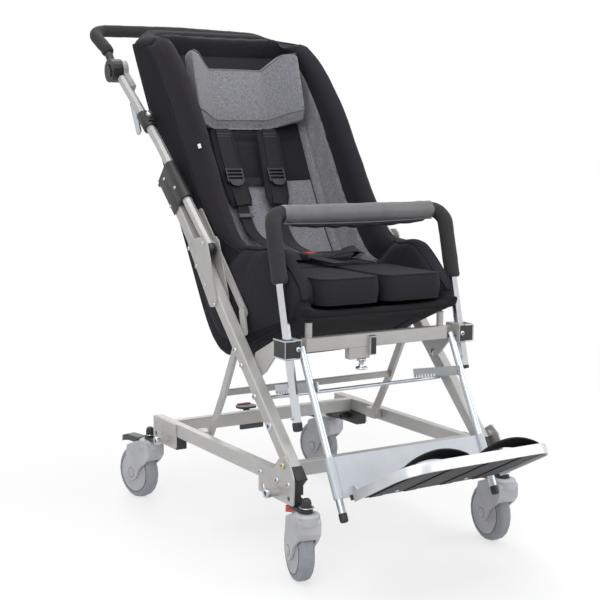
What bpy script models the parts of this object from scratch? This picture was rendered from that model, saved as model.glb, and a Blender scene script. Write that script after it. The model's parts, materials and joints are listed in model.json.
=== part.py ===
"""Special needs stroller: a folding frame on four swivel casters with a tilting seat, safety bar and leg rest.

Metres. +X is the seated person's left, +Y is rearward, +Z is up, the floor is z = 0.
Lengths along y are written from the swivel axis of the front casters.
"""
import math

import bmesh
import bpy
from mathutils import Matrix, Vector

# Clearances
GAP = 0.0003
RUN = 0.0010
LOOSE = 0.0030

# Base frame
RAIL_IN = 0.242
RAIL_W = 0.020
RAIL_H = 0.030
RAIL_Z = 0.186
RAIL_START = 0.087
RAIL_SHORT = 0.0374
FRONT_CROSS_Y = 0.125
REAR_CROSS_BACK = 0.071
CROSS_D = 0.020
PLATE_T = 0.003
BLOCK_W = 0.025
AXLE_R = 0.0085
AXLE_BORE = 0.0050
AXLE_REACH = 0.296
FRONT_AXLE = (0.0785, 0.175)
REAR_AXLE_BACK = 0.072
REAR_AXLE_Z = 0.172
TONGUE_T = 0.0055

# Casters: swivel axis places, wheel and fork
FRONT_CASTER_X = 0.249
REAR_CASTER_X = 0.2576
WHEELBASE = 0.6854
WHEEL_R = 0.0625
WHEEL_W = 0.032
TRAIL = 0.045
FORK_T = 0.006
COLLAR_R = 0.0225
FORK_TOP = 0.1502
SWIVEL = {"front.R": -14.9, "front.L": -7.1, "rear.R": 12.0, "rear.L": 10.0}

# Main tubes and hinge plates
MAIN_X = 0.240
MAIN_W = 0.025
MAIN_D = 0.028
MAIN_ANGLE = 45.0
MAIN_FOOT = (0.0400, 0.1965)
MAIN_TOP_Y = 0.570
HINGE_T = 0.003
FOLD_PIVOT = (0.420, 0.638)

# Push frame
PUSH_R = 0.011
PUSH_BEND = (0.660, 0.848)
HUB = (0.893, 1.021)
HUB_R = 0.029
HUB_IN = 0.2225
HUB_SPLIT = 0.2355
HUB_OUT = 0.2620
SLEEVE_START = 0.135
SLEEVE_LEN = 0.112
HANDLE_X = 0.2475
HANDLE_R = 0.0100
GRIP_R = 0.0150
HANDLE_BEND = (0.937, 1.073)
HANDLE_BACK = (1.040, 1.125)
HANDLE_CORNER = 0.048
HANDLE_BOW = 0.012

# Seat
SEAT_PIVOT = (0.294, 0.502)
LINK_TOP = (0.491, 0.699)
LINK_T = 0.004
LINK_W = 0.020
LINK_BOSS = 0.0016
SHELL_LOW = 0.2015
WING_T = 0.030
CUSHION_HALF = 0.163
CUSHION_FRONT = 0.100
CUSHION_BACK = 0.500
SEAT_Z = 0.518
CUSHION_T = 0.070
BACK_LEAN = 25.7
HEADREST = (0.6958, 0.8822)
HEADREST_H = 0.184
HEADREST_HALF = 0.150
HEADREST_T = 0.026
HEADREST_WING = 0.072
HEADREST_FLAT = 0.45
HEADREST_SET = 0.0024

# Safety bar
BAR_X = 0.219
BAR_R = 0.0095
BAR_FOAM_R = 0.0165
BAR_FOOT_Z = {-1: 0.293, 1: 0.374}
BAR_LEAN = 14.3
BAR_FOAM_END = (0.154, 0.5775)
BAR_ELBOW = (0.183, 0.713)
BAR_FRONT_Y = 0.200
PAD_HALF = 0.188
PAD_R = 0.018

# Seat support
CROSS_TUBE_Y = 0.1250
CROSS_TUBE_Z = 0.454
CROSS_TUBE_D = 0.020
CROSS_TUBE_H = 0.028
CLAMP_Y = 0.123
CLAMP_Z = 0.451
BRACE_T = 0.008
BRACE_W = 0.018
BRACE_TOP = (0.311, 0.451)
BRACE_FOOT = (0.443, 0.209)

# Leg rest
LEG_X = 0.190
LEG_R = 0.0075
LEG_HINGE = (0.1155, 0.4445)
LEG_FOOT = (-0.044, 0.136)
TOOTH_PIVOT_Z = 0.376
TOOTH_LEN = 0.165
TOOTH_H = 0.020
TOOTH_T = 0.003
ROD_R = 0.0040
ROD = (0.200, 0.336)
CALF_T = 0.003
CALF_TOP = 0.248
CALF_BOTTOM = 0.196
FOOT_HALF = 0.180
FOOT_LEN = 0.212
FOOT_T = 0.010
FOOT_TOE_UP = 28.5
FOOT_CORNER = 0.055
FOOT_LUG_X = 0.150

# Derived layers, distances from the middle plane
RAIL_END = WHEELBASE - RAIL_SHORT
REAR_CROSS_Y = RAIL_END - REAR_CROSS_BACK
REAR_AXLE = (RAIL_END - REAR_AXLE_BACK, REAR_AXLE_Z)
RAIL_OUT = RAIL_IN + RAIL_W
RAIL_TOP = RAIL_Z + RAIL_H
PLATE_IN = RAIL_OUT + GAP
PLATE_OUT = PLATE_IN + PLATE_T
BLOCK_IN = RAIL_OUT - BLOCK_W
MAIN_IN = MAIN_X - MAIN_W / 2
MAIN_OUT = MAIN_X + MAIN_W / 2
HINGE_OUT = MAIN_OUT + GAP + HINGE_T
HINGE_IN = MAIN_IN - GAP - HINGE_T
LINK_OUT = HINGE_IN - RUN
LINK_IN = LINK_OUT - LINK_T
SHELL_HALF = LINK_IN - 0.0007
BRACE_OUT = MAIN_IN - GAP
BRACE_IN = BRACE_OUT - BRACE_T
TONGUE_Z = FORK_TOP + GAP
BLOCK_Z = TONGUE_Z + TONGUE_T
CUSHION_TOP = SEAT_Z + CUSHION_T
SIDES = {-1: "R", 1: "L"}

COLOURS = {
    "frame_paint": ((0.53, 0.50, 0.47), 0.42, 0.35),
    "black_plastic": ((0.020, 0.020, 0.023), 0.45, 0.0),
    "caster_grey": ((0.42, 0.42, 0.44), 0.50, 0.0),
    "tyre_grey": ((0.20, 0.21, 0.24), 0.60, 0.0),
    "pedal_red": ((0.62, 0.055, 0.045), 0.45, 0.0),
    "pedal_grey": ((0.09, 0.09, 0.10), 0.50, 0.0),
    "zinc": ((0.66, 0.70, 0.74), 0.28, 0.85),
    "chrome": ((0.80, 0.81, 0.83), 0.12, 1.0),
    "foam": ((0.035, 0.035, 0.038), 0.85, 0.0),
    "black_fabric": ((0.022, 0.022, 0.028), 0.90, 0.0),
    "grey_fabric": ((0.19, 0.19, 0.21), 0.95, 0.0),
    "vinyl": ((0.10, 0.10, 0.11), 0.40, 0.0),
    "webbing": ((0.018, 0.018, 0.020), 0.80, 0.0),
    "mat_black": ((0.025, 0.025, 0.027), 0.60, 0.0),
}


def clear():
    for obj in list(bpy.data.objects):
        bpy.data.objects.remove(obj, do_unlink=True)


def collection(name):
    made = bpy.data.collections.new(name)
    bpy.context.scene.collection.children.link(made)
    return made


def material(name):
    found = bpy.data.materials.get(name)
    if found:
        return found
    colour, roughness, metallic = COLOURS[name]
    made = bpy.data.materials.new(name)
    made.use_nodes = True
    shader = made.node_tree.nodes["Principled BSDF"]
    shader.inputs["Base Color"].default_value = (*colour, 1.0)
    shader.inputs["Roughness"].default_value = roughness
    shader.inputs["Metallic"].default_value = metallic
    made.diffuse_color = (*colour, 1.0)
    return made


clear()
PARTS = collection("special_needs_stroller")
ROOT = bpy.data.objects.new("origin", None)
PARTS.objects.link(ROOT)


def holder(name, place, turn=0.0):
    """An empty on a swivel axis, turned about the vertical."""
    made = bpy.data.objects.new(name, None)
    PARTS.objects.link(made)
    made.parent = ROOT
    made.location = place
    made.rotation_euler = (0.0, 0.0, math.radians(turn))
    return made


def shape(bm):
    """A loose object from a bmesh, still in frame coordinates."""
    mesh = bpy.data.meshes.new("shape")
    bmesh.ops.recalc_face_normals(bm, faces=bm.faces)
    bm.to_mesh(mesh)
    bm.free()
    made = bpy.data.objects.new("shape", mesh)
    PARTS.objects.link(made)
    return made


def settle(obj):
    """Applies the modifiers and the matrix of a loose object."""
    bpy.context.view_layer.update()
    graph = bpy.context.evaluated_depsgraph_get()
    mesh = bpy.data.meshes.new_from_object(obj.evaluated_get(graph))
    mesh.transform(obj.matrix_world)
    bm = bmesh.new()
    bm.from_mesh(mesh)
    bmesh.ops.remove_doubles(bm, verts=bm.verts, dist=0.00001)
    bpy.data.objects.remove(obj, do_unlink=True)
    return shape(bm)


def box(centre, size, bevel=0.0, tilt=0.0):
    """A block with chamfered edges, turned by tilt degrees about x."""
    bm = bmesh.new()
    bmesh.ops.create_cube(bm, size=1.0)
    bmesh.ops.scale(bm, vec=size, verts=bm.verts)
    if bevel:
        bmesh.ops.bevel(bm, geom=bm.edges[:], offset=bevel, segments=1, affect="EDGES", profile=0.5)
    turn = Matrix.Translation(centre) @ Matrix.Rotation(math.radians(tilt), 4, "X")
    bmesh.ops.transform(bm, matrix=turn, verts=bm.verts)
    return shape(bm)


def rod(start, end, radius, end_radius=None, sides=16):
    """A round bar, or a cone, between two points."""
    a, b = Vector(start), Vector(end)
    along = b - a
    bm = bmesh.new()
    last = radius if end_radius is None else end_radius
    bmesh.ops.create_cone(bm, cap_ends=True, segments=sides, radius1=radius, radius2=last, depth=along.length)
    turn = Matrix.Translation((a + b) / 2) @ along.to_track_quat("Z", "Y").to_matrix().to_4x4()
    bmesh.ops.transform(bm, matrix=turn, verts=bm.verts)
    return shape(bm)


def bend(points, radius, steps=4):
    """The points of a bent route: every inner corner becomes an arc of the given radius."""
    route = [Vector(points[0])]
    for before, corner, after in zip(points, points[1:], points[2:]):
        corner = Vector(corner)
        back = (Vector(before) - corner).normalized()
        ahead = (Vector(after) - corner).normalized()
        half = back.angle(ahead) / 2
        reach = min(radius / math.tan(half), 0.49 * (Vector(before) - corner).length,
                    0.49 * (Vector(after) - corner).length)
        middle = corner + (back + ahead).normalized() * (reach / math.cos(half))
        arm = corner + back * reach - middle
        other = corner + ahead * reach - middle
        sweep = arm.angle(other)
        for step in range(steps + 1):
            part = step / steps
            weight = math.sin((1 - part) * sweep) / math.sin(sweep), math.sin(part * sweep) / math.sin(sweep)
            route.append(middle + arm * weight[0] + other * weight[1])
    route.append(Vector(points[-1]))
    return route


def tube(points, radius, resolution=2):
    """A round tube along a route."""
    curve = bpy.data.curves.new("route", "CURVE")
    curve.dimensions = "3D"
    curve.bevel_depth = radius
    curve.bevel_resolution = resolution
    curve.use_fill_caps = True
    spline = curve.splines.new("POLY")
    spline.points.add(len(points) - 1)
    for target, place in zip(spline.points, points):
        target.co = (*place, 1.0)
    made = bpy.data.objects.new("route", curve)
    PARTS.objects.link(made)
    return settle(made)


def circle(centre, radius, sides=12):
    steps = [2 * math.pi * step / sides for step in range(sides)]
    return [(centre[0] + radius * math.cos(a), centre[1] + radius * math.sin(a)) for a in steps]


def rounded(points, radius, steps=2):
    """A closed flat outline with arcs at its corners."""
    ring = [(*p, 0.0) for p in points]
    count = len(ring)
    out = []
    for index in range(count):
        three = [ring[index - 1], ring[index], ring[(index + 1) % count]]
        out += [(p.x, p.y) for p in bend(three, radius, steps)[1:-1]]
    return out


AXES = {
    "x": Matrix(((0, 0, 1, 0), (1, 0, 0, 0), (0, 1, 0, 0), (0, 0, 0, 1))),
    "y": Matrix(((1, 0, 0, 0), (0, 0, -1, 0), (0, 1, 0, 0), (0, 0, 0, 1))),
    "z": Matrix.Identity(4),
}


def flat(outline, axis, low, high, holes=()):
    """A flat piece: the outline, with its holes, made thick along one axis."""
    curve = bpy.data.curves.new("outline", "CURVE")
    curve.dimensions = "2D"
    curve.fill_mode = "BOTH"
    curve.extrude = abs(high - low) / 2
    for ring in (outline, *holes):
        spline = curve.splines.new("POLY")
        spline.points.add(len(ring) - 1)
        spline.use_cyclic_u = True
        for target, place in zip(spline.points, ring):
            target.co = (*place, 0.0, 1.0)
    made = bpy.data.objects.new("outline", curve)
    PARTS.objects.link(made)
    middle = (low + high) / 2
    shift = {"x": (middle, 0, 0), "y": (0, middle, 0), "z": (0, 0, middle)}[axis]
    made.matrix_world = Matrix.Translation(shift) @ AXES[axis]
    return settle(made)


def mirrored(outline, side):
    """The outline as seen on one side, for pieces drawn on the left half."""
    return [(side * a, b) for a, b in outline]


def combine(body, tools, operation):
    for tool in tools:
        step = body.modifiers.new("step", "BOOLEAN")
        step.operation = operation
        step.solver = "EXACT"
        step.object = tool
        body = settle(body)
        bpy.data.objects.remove(tool, do_unlink=True)
    return body


def fuse(body, *others):
    return combine(body, others, "UNION")


def cut(body, *tools):
    return combine(body, tools, "DIFFERENCE")


def subdivided(obj, levels):
    step = obj.modifiers.new("soft", "SUBSURF")
    step.levels = levels
    step.render_levels = levels
    return settle(obj)


def loft(rings, levels=1, closed=True):
    """A skin through unlike sections, capped at both ends and then rounded."""
    bm = bmesh.new()
    rows = [[bm.verts.new(place) for place in ring] for ring in rings]
    count = len(rows[0])
    for near, far in zip(rows, rows[1:]):
        for index in range(count if closed else count - 1):
            after = (index + 1) % count
            bm.faces.new((near[index], near[after], far[after], far[index]))
    bm.faces.new(rows[0])
    bm.faces.new(rows[-1])
    made = shape(bm)
    return subdivided(made, levels) if levels else made


def turned(profile, place, axis, steps=24):
    """A turned body: the half section (radius, height), top first, swept about an axis through a place."""
    bm = bmesh.new()
    verts = [bm.verts.new((radius, 0.0, height)) for radius, height in profile]
    for a, b in zip(verts, verts[1:]):
        bm.edges.new((a, b))
    if profile[0][0] > 0.0001:
        bm.edges.new((verts[-1], verts[0]))
    mesh = bpy.data.meshes.new("profile")
    bm.to_mesh(mesh)
    bm.free()
    made = bpy.data.objects.new("profile", mesh)
    PARTS.objects.link(made)
    sweep = made.modifiers.new("sweep", "SCREW")
    sweep.axis = "Z"
    sweep.steps = steps
    sweep.render_steps = steps
    sweep.use_merge_vertices = True
    sweep.merge_threshold = 0.00005
    turn = Vector(axis).to_track_quat("Z", "Y").to_matrix().to_4x4()
    made.matrix_world = Matrix.Translation(place) @ turn
    return settle(made)


def node(obj, name, look, at=(0.0, 0.0, 0.0), under=None):
    """Turns a loose shape into a named sub-part whose origin is on its joint or at the place given."""
    obj.data.transform(Matrix.Translation(-Vector(at)))
    obj.name = name
    obj.data.name = name
    obj.parent = under or ROOT
    obj.location = at
    obj.data.materials.clear()
    obj.data.materials.append(material(look))
    obj.data.shade_smooth()
    obj.data.set_sharp_from_angle(angle=math.radians(32))
    return obj


def between(a, b, part):
    return tuple(p + (q - p) * part for p, q in zip(a, b))


def heading(a, b):
    """Unit direction from a to b in the side view, and the direction square to it on the upper side."""
    along = Vector((b[0] - a[0], b[1] - a[1])).normalized()
    return along, Vector((-along.y, along.x))


def strip(a, b, width):
    """The outline of a straight bar of a given width between two points of the side view."""
    along, up = heading(a, b)
    a, b = Vector(a), Vector(b)
    half = up * width / 2
    return [tuple(a - half), tuple(b - half), tuple(b + half), tuple(a + half)]


def at_side(side, x, flat_place):
    return (side * x, flat_place[0], flat_place[1])


def cross_rod(side, start, end, place, radius, sides):
    """A round bar that runs across, between two distances from the middle, at a place of the side view."""
    return rod(at_side(side, start, place), at_side(side, end, place), radius, sides=sides)


def bolt(side, x, place, radius=0.0055, height=0.0016):
    """A low hexagon bolt head standing on a face at the given distance from the middle."""
    return rod(at_side(side, x - 0.001, place), at_side(side, x + height, place), radius, radius * 0.8, sides=6)


def base_frame():
    length = RAIL_END - RAIL_START
    centre_z = RAIL_Z + RAIL_H / 2
    rails = [box((side * (RAIL_IN + RAIL_W / 2), RAIL_START + length / 2, centre_z),
                 (RAIL_W, length, RAIL_H), 0.0015) for side in SIDES]
    width = 2 * RAIL_IN + RAIL_W / 2
    crosses = [box((0, y, centre_z), (width, CROSS_D, RAIL_H - 0.0006), 0.0012)
               for y in (FRONT_CROSS_Y, REAR_CROSS_Y)]
    node(fuse(rails[0], *crosses, rails[1]), "base_frame", "frame_paint", (0, REAR_CROSS_Y, RAIL_Z))


def axle_stub(side, start, end, place):
    """A hollow axle socket and the bore that opens at its tip."""
    body = cross_rod(side, start, end, place, AXLE_R, 14)
    reach = math.copysign(0.022, end - start)
    bore = cross_rod(side, end - reach, end + reach, place, AXLE_BORE, 10)
    return body, bore


def adapter_plate(side, name, outline, holes, bolts, axle, extra=()):
    """An outer plate on the rail with its bolts and its hollow axle socket."""
    body = flat(outline, "x", side * PLATE_IN, side * PLATE_OUT, [circle(c, r) for c, r in holes])
    stub, bore = axle_stub(side, PLATE_IN + PLATE_T / 2, AXLE_REACH, axle)
    heads = [bolt(side, PLATE_OUT, place) for place in bolts]
    node(cut(fuse(body, stub, *heads, *extra), bore), name, "frame_paint", at_side(side, PLATE_IN, axle))


def rear_plate(side):
    low, high = REAR_AXLE[1] - 0.013, RAIL_TOP - 0.0005
    front, back = REAR_AXLE[0] - 0.042, RAIL_END + 0.002
    outline = rounded([(front, low), (back, low), (back, high), (front, high)], 0.003)
    top, bottom = high - 0.0135, high - 0.0335
    bolts = [(back - 0.013, top), (back - 0.043, top), (front + 0.010, top - 0.001), (back - 0.043, bottom)]
    holes = [((back - 0.013, REAR_AXLE[1] + 0.003), 0.0055)]
    adapter_plate(side, "rear_plate." + SIDES[side], outline, holes, bolts, REAR_AXLE)


def front_plate(side):
    low, high = FRONT_AXLE[1] - 0.017, RAIL_TOP + 0.0005
    front, back = FRONT_AXLE[0] - 0.0565, FRONT_AXLE[0] + 0.0785
    nose = (front + 0.038, high + 0.036)
    outline = rounded([(front, low), (back, low), (back, high), (front + 0.078, high),
                       (front + 0.058, high + 0.024), nose, (front + 0.014, high + 0.020),
                       (front, high - 0.0045)], 0.004)
    pin = (nose[0], nose[1] - 0.020)
    spacer = cross_rod(side, MAIN_OUT + GAP, PLATE_OUT + 0.003, pin, 0.0075, 12)
    bolts = [(back - 0.008, high - 0.018), (FRONT_AXLE[0] + 0.006, high - 0.0195),
             (front + 0.019, high - 0.019)]
    holes = [((back - 0.018, low + 0.013), 0.0062), ((front + 0.0185, low + 0.0115), 0.0052)]
    adapter_plate(side, "front_plate." + SIDES[side], outline, holes, bolts, FRONT_AXLE, [spacer])


def tongue(side, x, y_from, y_axis):
    """The flat tongue that carries a caster, round about the swivel axis, with its dome nut and washers."""
    toward = 1 if y_axis > y_from else -1
    half = BLOCK_W / 2
    arc = [(x + half * math.cos(a), y_axis + toward * half * math.sin(a))
           for a in [math.pi * step / 8 for step in range(9)]]
    outline = mirrored([(x + half, y_from), *arc, (x - half, y_from)], side)
    blade = flat(outline, "z", TONGUE_Z, BLOCK_Z + 0.0008)
    base = (side * x, y_axis, BLOCK_Z - 0.001)
    washer = rod(base, (side * x, y_axis, BLOCK_Z + 0.003), 0.0120, sides=12)
    profile = [(0.0, 0.0250), (0.0055, 0.0235), (0.0090, 0.0190), (0.0100, 0.0130), (0.0100, 0.0), (0.0, 0.0)]
    return blade, washer, turned(profile, base, (0, 0, 1), 14)


def front_block(side):
    top = RAIL_Z - GAP
    front = FRONT_AXLE[0] - 0.0475
    back = FRONT_AXLE[0] + 0.0215
    foot = MAIN_FOOT[0] + MAIN_FOOT[1] - 2 * GAP
    outline = [(front, BLOCK_Z), (back, BLOCK_Z), (back, top), (foot - top, top), (front, foot - front)]
    body = flat(outline, "x", side * BLOCK_IN, side * RAIL_OUT)
    stub, bore = axle_stub(side, BLOCK_IN + 0.002, BLOCK_IN - 0.022, FRONT_AXLE)
    pieces = tongue(side, FRONT_CASTER_X, front + 0.010, 0.0)
    eye = rod((side * MAIN_X, front - 0.005, 0.172), (side * MAIN_X, front + 0.008, 0.172), 0.0045, sides=12)
    made = cut(fuse(body, stub, *pieces), bore, eye)
    node(made, "caster_block.front." + SIDES[side], "black_plastic", (side * FRONT_CASTER_X, 0, BLOCK_Z))


def rear_block(side):
    top = RAIL_Z - GAP
    front, back = REAR_AXLE[0] - 0.042, RAIL_END + 0.002
    outline = rounded([(front, BLOCK_Z), (back, BLOCK_Z), (back, top), (front, top)], 0.002, 2)
    body = flat(outline, "x", side * BLOCK_IN, side * RAIL_OUT)
    stub, bore = axle_stub(side, BLOCK_IN + 0.002, BLOCK_IN - 0.022, REAR_AXLE)
    pieces = tongue(side, REAR_CASTER_X, back - 0.012, WHEELBASE)
    made = cut(fuse(body, stub, *pieces), bore)
    node(made, "caster_block.rear." + SIDES[side], "black_plastic", (side * REAR_CASTER_X, WHEELBASE, BLOCK_Z))


FORK_SLOT = WHEEL_W / 2 + 0.0015
FORK_HALF = FORK_SLOT + FORK_T
PEDAL_Y = 0.034
PEDAL_REACH = {"front": 0.060, "rear": 0.092}
PEDAL_Z = FORK_TOP - 0.0044


def fork():
    """Caster housing about the swivel axis: collar, hood and two arms down to the axle."""
    arm = WHEEL_R - 0.0225
    outline = rounded([(-COLLAR_R, FORK_TOP - 0.008), (-COLLAR_R, FORK_TOP - 0.038), (-0.010, FORK_TOP - 0.054),
                       (TRAIL - 0.030, WHEEL_R + 0.014), (TRAIL - 0.016, WHEEL_R - 0.012), (TRAIL, arm),
                       (TRAIL + 0.019, WHEEL_R - 0.014), (TRAIL + 0.025, WHEEL_R + 0.006),
                       (TRAIL + 0.021, FORK_TOP - 0.050), (TRAIL + 0.017, FORK_TOP - 0.022),
                       (COLLAR_R + 0.006, FORK_TOP - 0.008)], 0.008, 2)
    body = flat(outline, "x", -FORK_HALF, FORK_HALF)
    ring = [(0.0, FORK_TOP), (0.0115, FORK_TOP), (0.0115, FORK_TOP - 0.002), (COLLAR_R - 0.004, FORK_TOP - 0.003),
            (COLLAR_R, FORK_TOP - 0.006), (COLLAR_R, FORK_TOP - 0.016), (0.0, FORK_TOP - 0.016)]
    collar = turned(ring, (0, 0, 0), (0, 0, 1), 12)
    lug = box((0, PEDAL_Y, PEDAL_Z - 0.0065), (0.014, 0.0036, 0.0082))
    slot = rod((-FORK_SLOT, TRAIL, WHEEL_R), (FORK_SLOT, TRAIL, WHEEL_R), WHEEL_R + 0.004, sides=18)
    axle = rod((-FORK_HALF - 0.001, TRAIL, WHEEL_R), (FORK_HALF + 0.001, TRAIL, WHEEL_R), 0.0040, sides=10)
    return fuse(cut(fuse(body, collar, lug), slot), axle)


def wheel():
    half = WHEEL_W / 2
    side = [(0.0044, half), (WHEEL_R - 0.014, half), (WHEEL_R - 0.0055, half - 0.0015),
            (WHEEL_R - 0.0015, half - 0.0050), (WHEEL_R, half - 0.0100)]
    profile = side + [(radius, -height) for radius, height in reversed(side)]
    return turned(profile, (0, TRAIL, WHEEL_R), (1, 0, 0), 20)


def brake_pedal(reach):
    """Foot lever lying over the trailing side of a caster."""
    low, high = PEDAL_Z - 0.0021, PEDAL_Z + 0.0030
    outline = [(PEDAL_Y - 0.006, low), (reach - 0.012, low), (reach - 0.004, low - 0.0075),
               (reach, low - 0.0070), (reach - 0.003, high - 0.005), (reach - 0.014, high),
               (PEDAL_Y - 0.006, high)]
    return flat(rounded(outline, 0.002, 2), "x", -0.013, 0.013)


def casters():
    places = {"front": (FRONT_CASTER_X, 0.0), "rear": (REAR_CASTER_X, WHEELBASE)}
    looks = {"front": "pedal_red", "rear": "pedal_grey"}
    for end, (x, y) in places.items():
        for side, letter in SIDES.items():
            tag = end + "." + letter
            axis = holder("swivel." + tag, (side * x, y, 0.0), SWIVEL[tag])
            node(fork(), "caster_fork." + tag, "caster_grey", (0, 0, FORK_TOP), axis)
            node(wheel(), "caster_wheel." + tag, "tyre_grey", (0, TRAIL, WHEEL_R), axis)
            node(brake_pedal(PEDAL_REACH[end]), "caster_pedal." + tag, looks[end], (0, PEDAL_Y, PEDAL_Z), axis)


def rear_pedal():
    """Centre foot pedal hinged behind the rear crossmember."""
    radius = 0.008
    y = REAR_CROSS_Y + CROSS_D / 2 + GAP + radius
    z = RAIL_Z + 0.006
    left, right = -0.060, -0.004
    barrel = rod((left, y, z), (right, y, z), radius, sides=14)
    arm = box(((left + right) / 2 - 0.008, y + 0.009, z + 0.012), (0.016, 0.006, 0.030), 0.001)
    pad = flat(rounded([(left - 0.003, y - 0.004), (right - 0.010, y - 0.004), (right - 0.010, y + 0.032),
                        (left - 0.003, y + 0.032)], 0.014, 4), "z", RAIL_TOP + 0.0005, RAIL_TOP + 0.0055)
    lip = box(((left + right) / 2 + 0.001, y, z - 0.0155), (right - left + 0.008, 0.008, 0.019), 0.002)
    node(fuse(barrel, arm, pad, lip), "rear_pedal", "pedal_grey", (0, y, z))


MAIN_ALONG = Vector((math.cos(math.radians(MAIN_ANGLE)), math.sin(math.radians(MAIN_ANGLE))))
MAIN_UP = Vector((-MAIN_ALONG.y, MAIN_ALONG.x))
MAIN_LEN = (MAIN_TOP_Y - MAIN_FOOT[0]) / MAIN_ALONG.x


def on_main(distance, lift=0.0):
    """A place in the side view, measured along the main tube from its foot and square to it."""
    return tuple(Vector(MAIN_FOOT) + MAIN_ALONG * distance + MAIN_UP * lift)


def main_tube(side):
    """Sloping rectangular tube with the bracket of the seat pivot on its inner face."""
    middle = on_main(MAIN_LEN / 2)
    body = box(at_side(side, MAIN_X, middle), (MAIN_W, MAIN_LEN, MAIN_D), 0.0025, MAIN_ANGLE)
    foot = (SEAT_PIVOT[0] - 0.011, SEAT_PIVOT[1] - 0.047)
    along, _ = heading(foot, SEAT_PIVOT)
    top = tuple(Vector(SEAT_PIVOT) + along * 0.011)
    bracket = flat(rounded(strip(foot, top, 0.022), 0.008), "x", side * HINGE_IN, side * (MAIN_IN + 0.001))
    pin = cross_rod(side, HINGE_IN + 0.001, LINK_IN - 0.0015, SEAT_PIVOT, 0.0040, 12)
    heads = [bolt(side, MAIN_OUT, on_main(distance, lift), radius)
             for distance, lift, radius in ((0.137, 0.0, 0.0095), (0.214, -0.007, 0.006),
                                            (0.292, -0.006, 0.005), (0.332, -0.006, 0.005))]
    made = fuse(body, bracket, pin, *heads)
    node(made, "main_tube." + SIDES[side], "frame_paint", at_side(side, MAIN_X, MAIN_FOOT))


def hinge_plates(side):
    """Pair of plates on both faces of the main tube, joined by the pin on which the push tube folds."""
    y, z = FOLD_PIVOT
    outline = rounded([(y + 0.068, z + 0.004), (y - 0.006, z + 0.016), (y - 0.020, z + 0.008),
                       (y - 0.066, z - 0.114), (y - 0.057, z - 0.130), (y - 0.037, z - 0.134),
                       (y + 0.064, z - 0.012)], 0.008)
    outer = flat(outline, "x", side * (HINGE_OUT - HINGE_T), side * HINGE_OUT)
    inner = flat(outline, "x", side * HINGE_IN, side * (HINGE_IN + HINGE_T))
    pin = cross_rod(side, HINGE_IN + 0.0005, HINGE_OUT + 0.002, FOLD_PIVOT, 0.0055, 14)
    heads = [bolt(side, HINGE_OUT, place, 0.005)
             for place in ((y + 0.022, z - 0.051), (y - 0.014, z - 0.087),
                           (y - 0.048, z - 0.118), (y + 0.058, z - 0.004))]
    made = fuse(outer, pin, inner, *heads)
    node(made, "hinge_plates." + SIDES[side], "frame_paint", at_side(side, MAIN_X, FOLD_PIVOT))


def brace_frame():
    """Two flat rear braces from the main tubes down to the rails, joined by a crossbar."""
    pieces = []
    knee = between(BRACE_TOP, BRACE_FOOT, 0.60)
    knee = (knee[0] - 0.005, knee[1])
    for side in SIDES:
        upper = flat(rounded(strip(BRACE_TOP, knee, BRACE_W), 0.004, 2), "x", side * BRACE_IN, side * BRACE_OUT)
        along, _ = heading(knee, BRACE_FOOT)
        start = tuple(Vector(knee) - along * 0.010)
        lower = flat(strip(start, BRACE_FOOT, BRACE_W - 0.0004), "x",
                     side * (BRACE_IN + 0.0002), side * (BRACE_OUT - 0.0002))
        foot_x = (BRACE_IN + RAIL_IN - GAP) / 2
        foot = box((side * foot_x, BRACE_FOOT[0] + 0.013, RAIL_Z + 0.018),
                   (RAIL_IN - GAP - BRACE_IN - 0.001, 0.036, 0.024), 0.001)
        pieces += [upper, lower, foot]
    half = BRACE_IN + BRACE_T / 2
    pieces.append(box((0, knee[0] - 0.004, knee[1] + 0.008), (2 * half, 0.010, 0.014), 0.001))
    node(fuse(*pieces[:3], pieces[-1], *pieces[3:-1]), "brace_frame", "frame_paint", (0, *BRACE_FOOT))


CLAMP_IN = 0.2005
CLAMP_OUT = 0.2385
CLAMP_H = 0.038


def on_bar(z):
    """Place of the safety bar's leg axis at a height."""
    return (BAR_FOAM_END[0] + (z - BAR_FOAM_END[1]) * math.tan(math.radians(BAR_LEAN)), z)


def bar_clamp(side):
    """Clamp for a leg of the safety bar with its gusset to the main tube and the hinge pin of the leg rest."""
    y, z = CLAMP_Y, CLAMP_Z
    low, high = z - CLAMP_H / 2, z + CLAMP_H / 2
    block = box((side * (CLAMP_IN + CLAMP_OUT) / 2, y, z), (CLAMP_OUT - CLAMP_IN, 0.046, CLAMP_H), 0.002)
    land = on_main(0.277, 0.004)
    gusset = flat(rounded([(y - 0.015, low + 0.003), (y + 0.030, low + 0.004), (land[0] - 0.036, land[1] - 0.003),
                           (land[0] - 0.012, land[1] - 0.018), (land[0] + 0.012, land[1] + 0.006),
                           (land[0] + 0.004, land[1] + 0.030), (y + 0.030, high - 0.004), (y - 0.015, high - 0.004)],
                          0.004, 2), "x", side * (MAIN_IN - GAP - 0.004), side * (MAIN_IN - GAP))
    bore_ends = [at_side(side, BAR_X, on_bar(z)) for z in (low - 0.02, high + 0.02)]
    bore = rod(*bore_ends, BAR_R + GAP, sides=16)
    pin = cross_rod(side, CLAMP_IN + 0.002, LEG_X - LEG_R + 0.001, LEG_HINGE, 0.0030, 10)
    head = bolt(-side, -(MAIN_IN - GAP - 0.004), (land[0] - 0.013, land[1] - 0.004), 0.006)
    made = cut(fuse(block, gusset, pin, head), bore)
    node(made, "bar_clamp." + SIDES[side], "black_plastic", at_side(side, BAR_X, (y, z)))


INDEX_X = -0.038


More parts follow.
